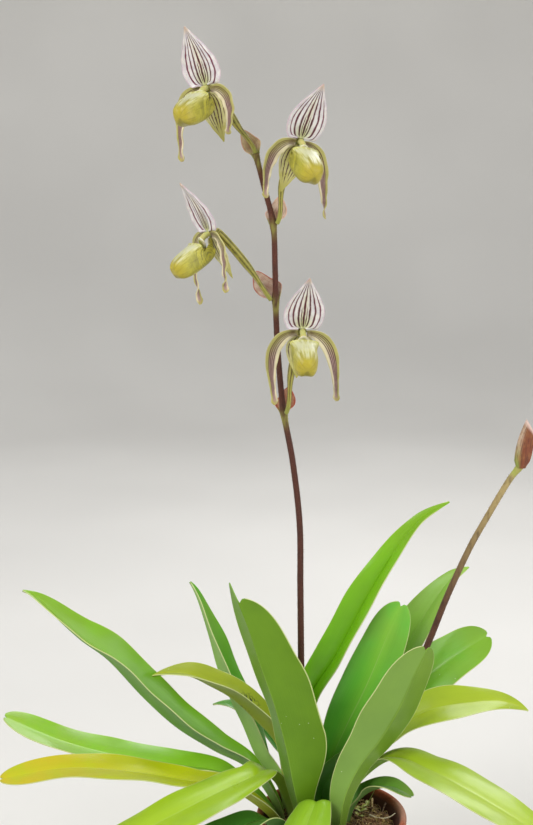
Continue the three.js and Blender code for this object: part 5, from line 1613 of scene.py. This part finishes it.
def mix_height(x, y):
    """Height of the mix's top: a low mound plus slow and quick sine lumps."""
    share = np.hypot(x, y) / RIM_RADIUS
    lumps = np.sin(0.23 * x + 0.9) * np.cos(0.27 * y) + 0.6 * np.sin(0.51 * x - 0.43 * y)
    crumbs = 0.5 * np.sin(1.3 * x + 2 * np.sin(0.7 * y)) * np.sin(1.1 * y + 2 * np.sin(0.9 * x))
    return MIX_TOP + MIX_MOUND * (1 - share * share) + MIX_LUMP * (lumps + crumbs)


under_radius, under_level = np.array(MIX_UNDERSIDE).T
mix_radius = np.concatenate([np.linspace(0.3, MIX_EDGE, MIX_ROWS), under_radius])
mix_level = np.concatenate([np.full(MIX_ROWS, MIX_TOP), under_level])
mix_rings = turned(mix_radius, mix_level, MIX_SIDES)
mix_rings[:MIX_ROWS, :, 2] = mix_height(mix_rings[:MIX_ROWS, :, 0], mix_rings[:MIX_ROWS, :, 1])
ground = make_tube("mix_ground", mix_rings, sharp=60)


def mix_finish(name, dark, brown, light, scale):
    """Crumbled bark: three browns by cloud and by cell, very rough."""
    nodes = Finish(name, Roughness=0.95)
    cloud = nodes.cloud(scale, 4.0)
    cells = nodes.cells(nodes.place(), scale * 4.0)
    colour = nodes.paint(
        dark,
        (brown, nodes.ramp(cloud, 0.35, 0.65)),
        (light, nodes.ramp(cells, 0.4, 0.7), 0.5),
    )
    return nodes.dress(colour, nodes.plus(cells, nodes.cloud(scale * 8.0, 3.0)), 0.8, 0.0015)


settle(ground, mix_finish("mix_finish", "2a1c12", "5a4028", "7c5c3a", 90.0), "potting_mix", "potting_mix")
print("ground of the mix", len(ground.data.polygons), "faces")

# %% Bark chips
CHIP_COUNT = 620
CHIP_HEAP = 6
CHIP_TILT = 0.55
CHIP_ROUGHNESS = 0.1
CHIP_LIFT = 0.6
CHIP_SIZES = [(2.2, 6.5), (1.6, 3.6), (0.7, 1.9)]
CHIP_SEED = 7
HEAP_RADIUS = 60


def chip_shell():
    """Points and quads of a rounded block: the surface of a 3 by 3 by 3 lattice, pushed towards a ball."""
    lattice = np.stack(np.meshgrid(*[[-1, 0, 1]] * 3, indexing="ij"), axis=-1).reshape(-1, 3)
    points = lattice * (1 - 0.13 * (np.abs(lattice).sum(axis=1, keepdims=True) - 1))
    number = np.arange(27).reshape(3, 3, 3)
    sheets = [np.take(number, end, axis=axis) for axis in range(3) for end in (0, 2)]
    quads = [[sheet[:-1, :-1], sheet[1:, :-1], sheet[1:, 1:], sheet[:-1, 1:]] for sheet in sheets]
    faces = np.moveaxis(np.array(quads), 1, -1).reshape(-1, 4)
    used, renumbered = np.unique(faces, return_inverse=True)
    return points[used], renumbered.reshape(-1, 4)


def random_turns(chance, count, tilt):
    """Turning matrices: any turn about Z, and a tilt about X and Y of up to the given angle."""
    angles = [chance.uniform(-tilt, tilt, count), chance.uniform(-tilt, tilt, count),
              chance.uniform(0, 2 * math.pi, count)]
    about = np.zeros((3, count, 3, 3))
    for axis, angle in enumerate(angles):
        one, other = (axis + 1) % 3, (axis + 2) % 3
        about[axis, :, axis, axis] = 1
        about[axis, :, one, one] = about[axis, :, other, other] = np.cos(angle)
        about[axis, :, other, one] = np.sin(angle)
        about[axis, :, one, other] = -np.sin(angle)
    return about[2] @ about[1] @ about[0]


def scatter_places(chance, count, reach):
    """Even random places on a disc: the radius goes with the square root of chance."""
    radius = reach * np.sqrt(chance.uniform(0, 1, count))
    angle = chance.uniform(0, 2 * math.pi, count)
    return radius * np.cos(angle), radius * np.sin(angle)


chance = np.random.default_rng(CHIP_SEED)
shell_points, shell_faces = chip_shell()
sizes = np.stack([chance.uniform(low, high, CHIP_COUNT) for low, high in CHIP_SIZES], axis=1)
unevenness = 1 + chance.normal(0, CHIP_ROUGHNESS, (CHIP_COUNT, len(shell_points), 3))
rough_points = shell_points * sizes[:, None] * unevenness
x, y = scatter_places(chance, CHIP_COUNT, HEAP_RADIUS)
height = mix_height(x, y) + CHIP_LIFT + CHIP_HEAP * chance.uniform(0, 1, CHIP_COUNT)
turns = random_turns(chance, CHIP_COUNT, CHIP_TILT)
chip_points = rough_points @ turns.transpose(0, 2, 1) + np.stack([x, y, height], axis=1)[:, None]
chip_faces = repeated(shell_faces, CHIP_COUNT, len(shell_points))
chips = make_piece("bark_chips", chip_points.reshape(-1, 3), chip_faces, sharp=35)
settle(chips, mix_finish("bark_finish", "4a3220", "7d5a36", "a8855a", 70.0), "potting_mix")
print(CHIP_COUNT, "bark chips")

# %% Fibres
FIBRE_ROWS = 9
FIBRE_ARCH = 3.2
FIBRE_CURL = 2.2
FIBRE_LENGTHS = (0.35, 1)
FIBRES = {
    "bark_fibres": dict(count=520, longest=22, thickness=0.4, lift=4.6, seed=11),
    "straw_fibres": dict(count=620, longest=18, thickness=0.45, lift=5.2, seed=13),
    "moss_strands": dict(count=700, longest=7, thickness=0.34, lift=4, seed=12),
}
FIBRE_FINISHES = {
    "bark_fibres": hair_finish("fibre_finish", "6b4c2c", "a58658"),
    "moss_strands": hair_finish("moss_finish", "5c6428", "8c8f3c"),
    "straw_fibres": hair_finish("straw_finish", "b8984e", "e4cc90"),
}


def fibre_mesh(name, count, longest, thickness, lift, seed):
    """Curled fibres lying on the mix: each turns evenly as it goes, with a three-sided section."""
    chance = np.random.default_rng(seed)
    x, y = scatter_places(chance, count, HEAP_RADIUS)
    heading = chance.uniform(0, 2 * math.pi, count)[:, None]
    curl = chance.normal(0, FIBRE_CURL, count)[:, None]
    length = longest * chance.uniform(*FIBRE_LENGTHS, count)[:, None]
    t = np.linspace(0, 1, FIBRE_ROWS)[None, :]
    way = heading + curl * t
    path_x = x[:, None] + np.cumsum(np.cos(way), axis=1) * length / FIBRE_ROWS
    path_y = y[:, None] + np.cumsum(np.sin(way), axis=1) * length / FIBRE_ROWS
    inside = np.minimum(1, MIX_EDGE * 0.97 / np.maximum(np.hypot(path_x, path_y), 1e-6))
    path_x, path_y = path_x * inside, path_y * inside
    arch = chance.uniform(0, FIBRE_ARCH, count)[:, None] * np.sin(math.pi * t)
    centre = np.stack([path_x, path_y, mix_height(path_x, path_y) + lift + arch], axis=-1)
    normal = np.stack([-np.sin(way), np.cos(way), 0 * way], axis=-1)
    radius = thickness * (1 - 0.6 * t)[..., None]
    corners = [normal, -0.5 * normal + 0.87 * UP, -0.5 * normal - 0.87 * UP]
    points = np.stack([centre + corner * radius for corner in corners], axis=2)
    each = 3 * FIBRE_ROWS
    quads = repeated(grid_faces(FIBRE_ROWS, 3, wrap=True), count, each)
    ends = repeated(np.array([[0, 1, 2], [each - 1, each - 2, each - 3]]), count, each)
    return make_piece(name, points.reshape(-1, 3), quads.tolist() + ends.tolist())


for name, fibres in FIBRES.items():
    settle(fibre_mesh(name, **fibres), FIBRE_FINISHES[name], "potting_mix")
print("fibres:", {name: fibres["count"] for name, fibres in FIBRES.items()})

# %% Small things on the mix
SEEDLINGS = [
    (21, 49), (22, 36), (29, 14), (32, 34), (39, 38), (31, 22), (-2, -40), (-56, 22), (10, -56), (50, -30),
]
SEEDLING_LIFT = 6
SEED_LEAF_LENGTH = 6.2
SEED_LEAF_HALF = 0.3
SEED_LEAF_GRID = (12, 9)
SEEDLING_TURN = 1.3
SEED_LEAF_TURN = 2.6
ROD_SIDES = 10
ROOT = dict(steps=40, radius=0.9, taper=0.6)
TWIG = dict(steps=24, radius=0.9, taper=0.7)
RODS = {
    "root_0": ([(39, 13, 7), (45, 9, 7.2), (51.5, 8, 7.6), (59, 8, 9), (65, 10, 13)], ROOT),
    "root_1": ([(12, 14, 7), (18, 17, 7.2), (24, 24, 7)], ROOT),
    "root_2": ([(-20, -52, 7), (-8, -56, 7.2), (6, -50, 7)], ROOT),
    "twig_0": ([(57, 30, 14), (54.5, 25, 10), (52.5, 19, 7)], TWIG),
    "twig_1": ([(8, 10, 7), (18, 17, 7.4), (26, 24, 7)], TWIG),
    "twig_2": ([(-40, -44, 7.2), (-30, -50, 7)], TWIG),
    "husk": ([(43.7, 39, 13), (43.2, 31, 9), (42.5, 22, 7)], dict(steps=30, radius=1.4, taper=0.3)),
    "grass_blade": ([(40, 46, 5), (42, 41, 13), (46.5, 37, 24)], dict(steps=30, radius=0.6, taper=0.3)),
}


def make_rod(name, places, steps, radius, taper):
    """Thin rod through places, each with its own height above the mix, that thins towards its far end."""
    places = np.array(places, float)
    points = places + UP * mix_height(places[:, 0], places[:, 1])[:, None]
    path = smooth_path(points, points[1] - points[0], steps)[0]
    return make_tube(name, tube_points(path, radius * np.linspace(1, taper, len(path)), ROD_SIDES, UP))


def sprout_surface(foot, heading, length):
    """Small oval seed leaf that rises from its foot and bends over."""
    u, v = shares(*SEED_LEAF_GRID)
    ahead = np.array([math.cos(heading), math.sin(heading), 0])
    side = np.array([math.sin(heading), -math.cos(heading), 0])
    width = 0.33 * length * np.sqrt(np.clip(np.sin(math.pi * (0.04 + 0.93 * u)), 0, 1))
    middle = np.array(foot) + ahead * (length * u)[..., None] + side * (width * v)[..., None]
    return middle + UP * (2.2 * np.sin(1.9 * u) + 0.5 * v * v)[..., None], SEED_LEAF_HALF, u, v


sprout_green = leaf_finish("sprout", {"upper": "a9b04c", "under": "98a048"})
ROD_FINISHES = {
    "root": hair_finish("root_finish", "cdbf9c", "e6dcc2"),
    "twig": hair_finish("twig_finish", "4a3220", "8a6a48"),
    "husk": hair_finish("husk_finish", "a5875a", "cdb483"),
    "grass": sprout_green,
}
for number, (x, y) in enumerate(SEEDLINGS):
    foot = (x, y, float(mix_height(x, y)) + SEEDLING_LIFT)
    for half in (0, 1):
        heading = SEEDLING_TURN * number + SEED_LEAF_TURN * half
        surface = sprout_surface(foot, heading, SEED_LEAF_LENGTH)
        settle(make_blade(f"seed_leaf_{number}_{half}", *surface), sprout_green, "leaf")
for name, (places, shape) in RODS.items():
    finish = ROD_FINISHES[name.split("_")[0]]
    settle(make_rod(name, places, **shape), finish, "leaf" if finish is sprout_green else "potting_mix")
print(len(SEEDLINGS), "seedlings and", len(RODS), "small rods")
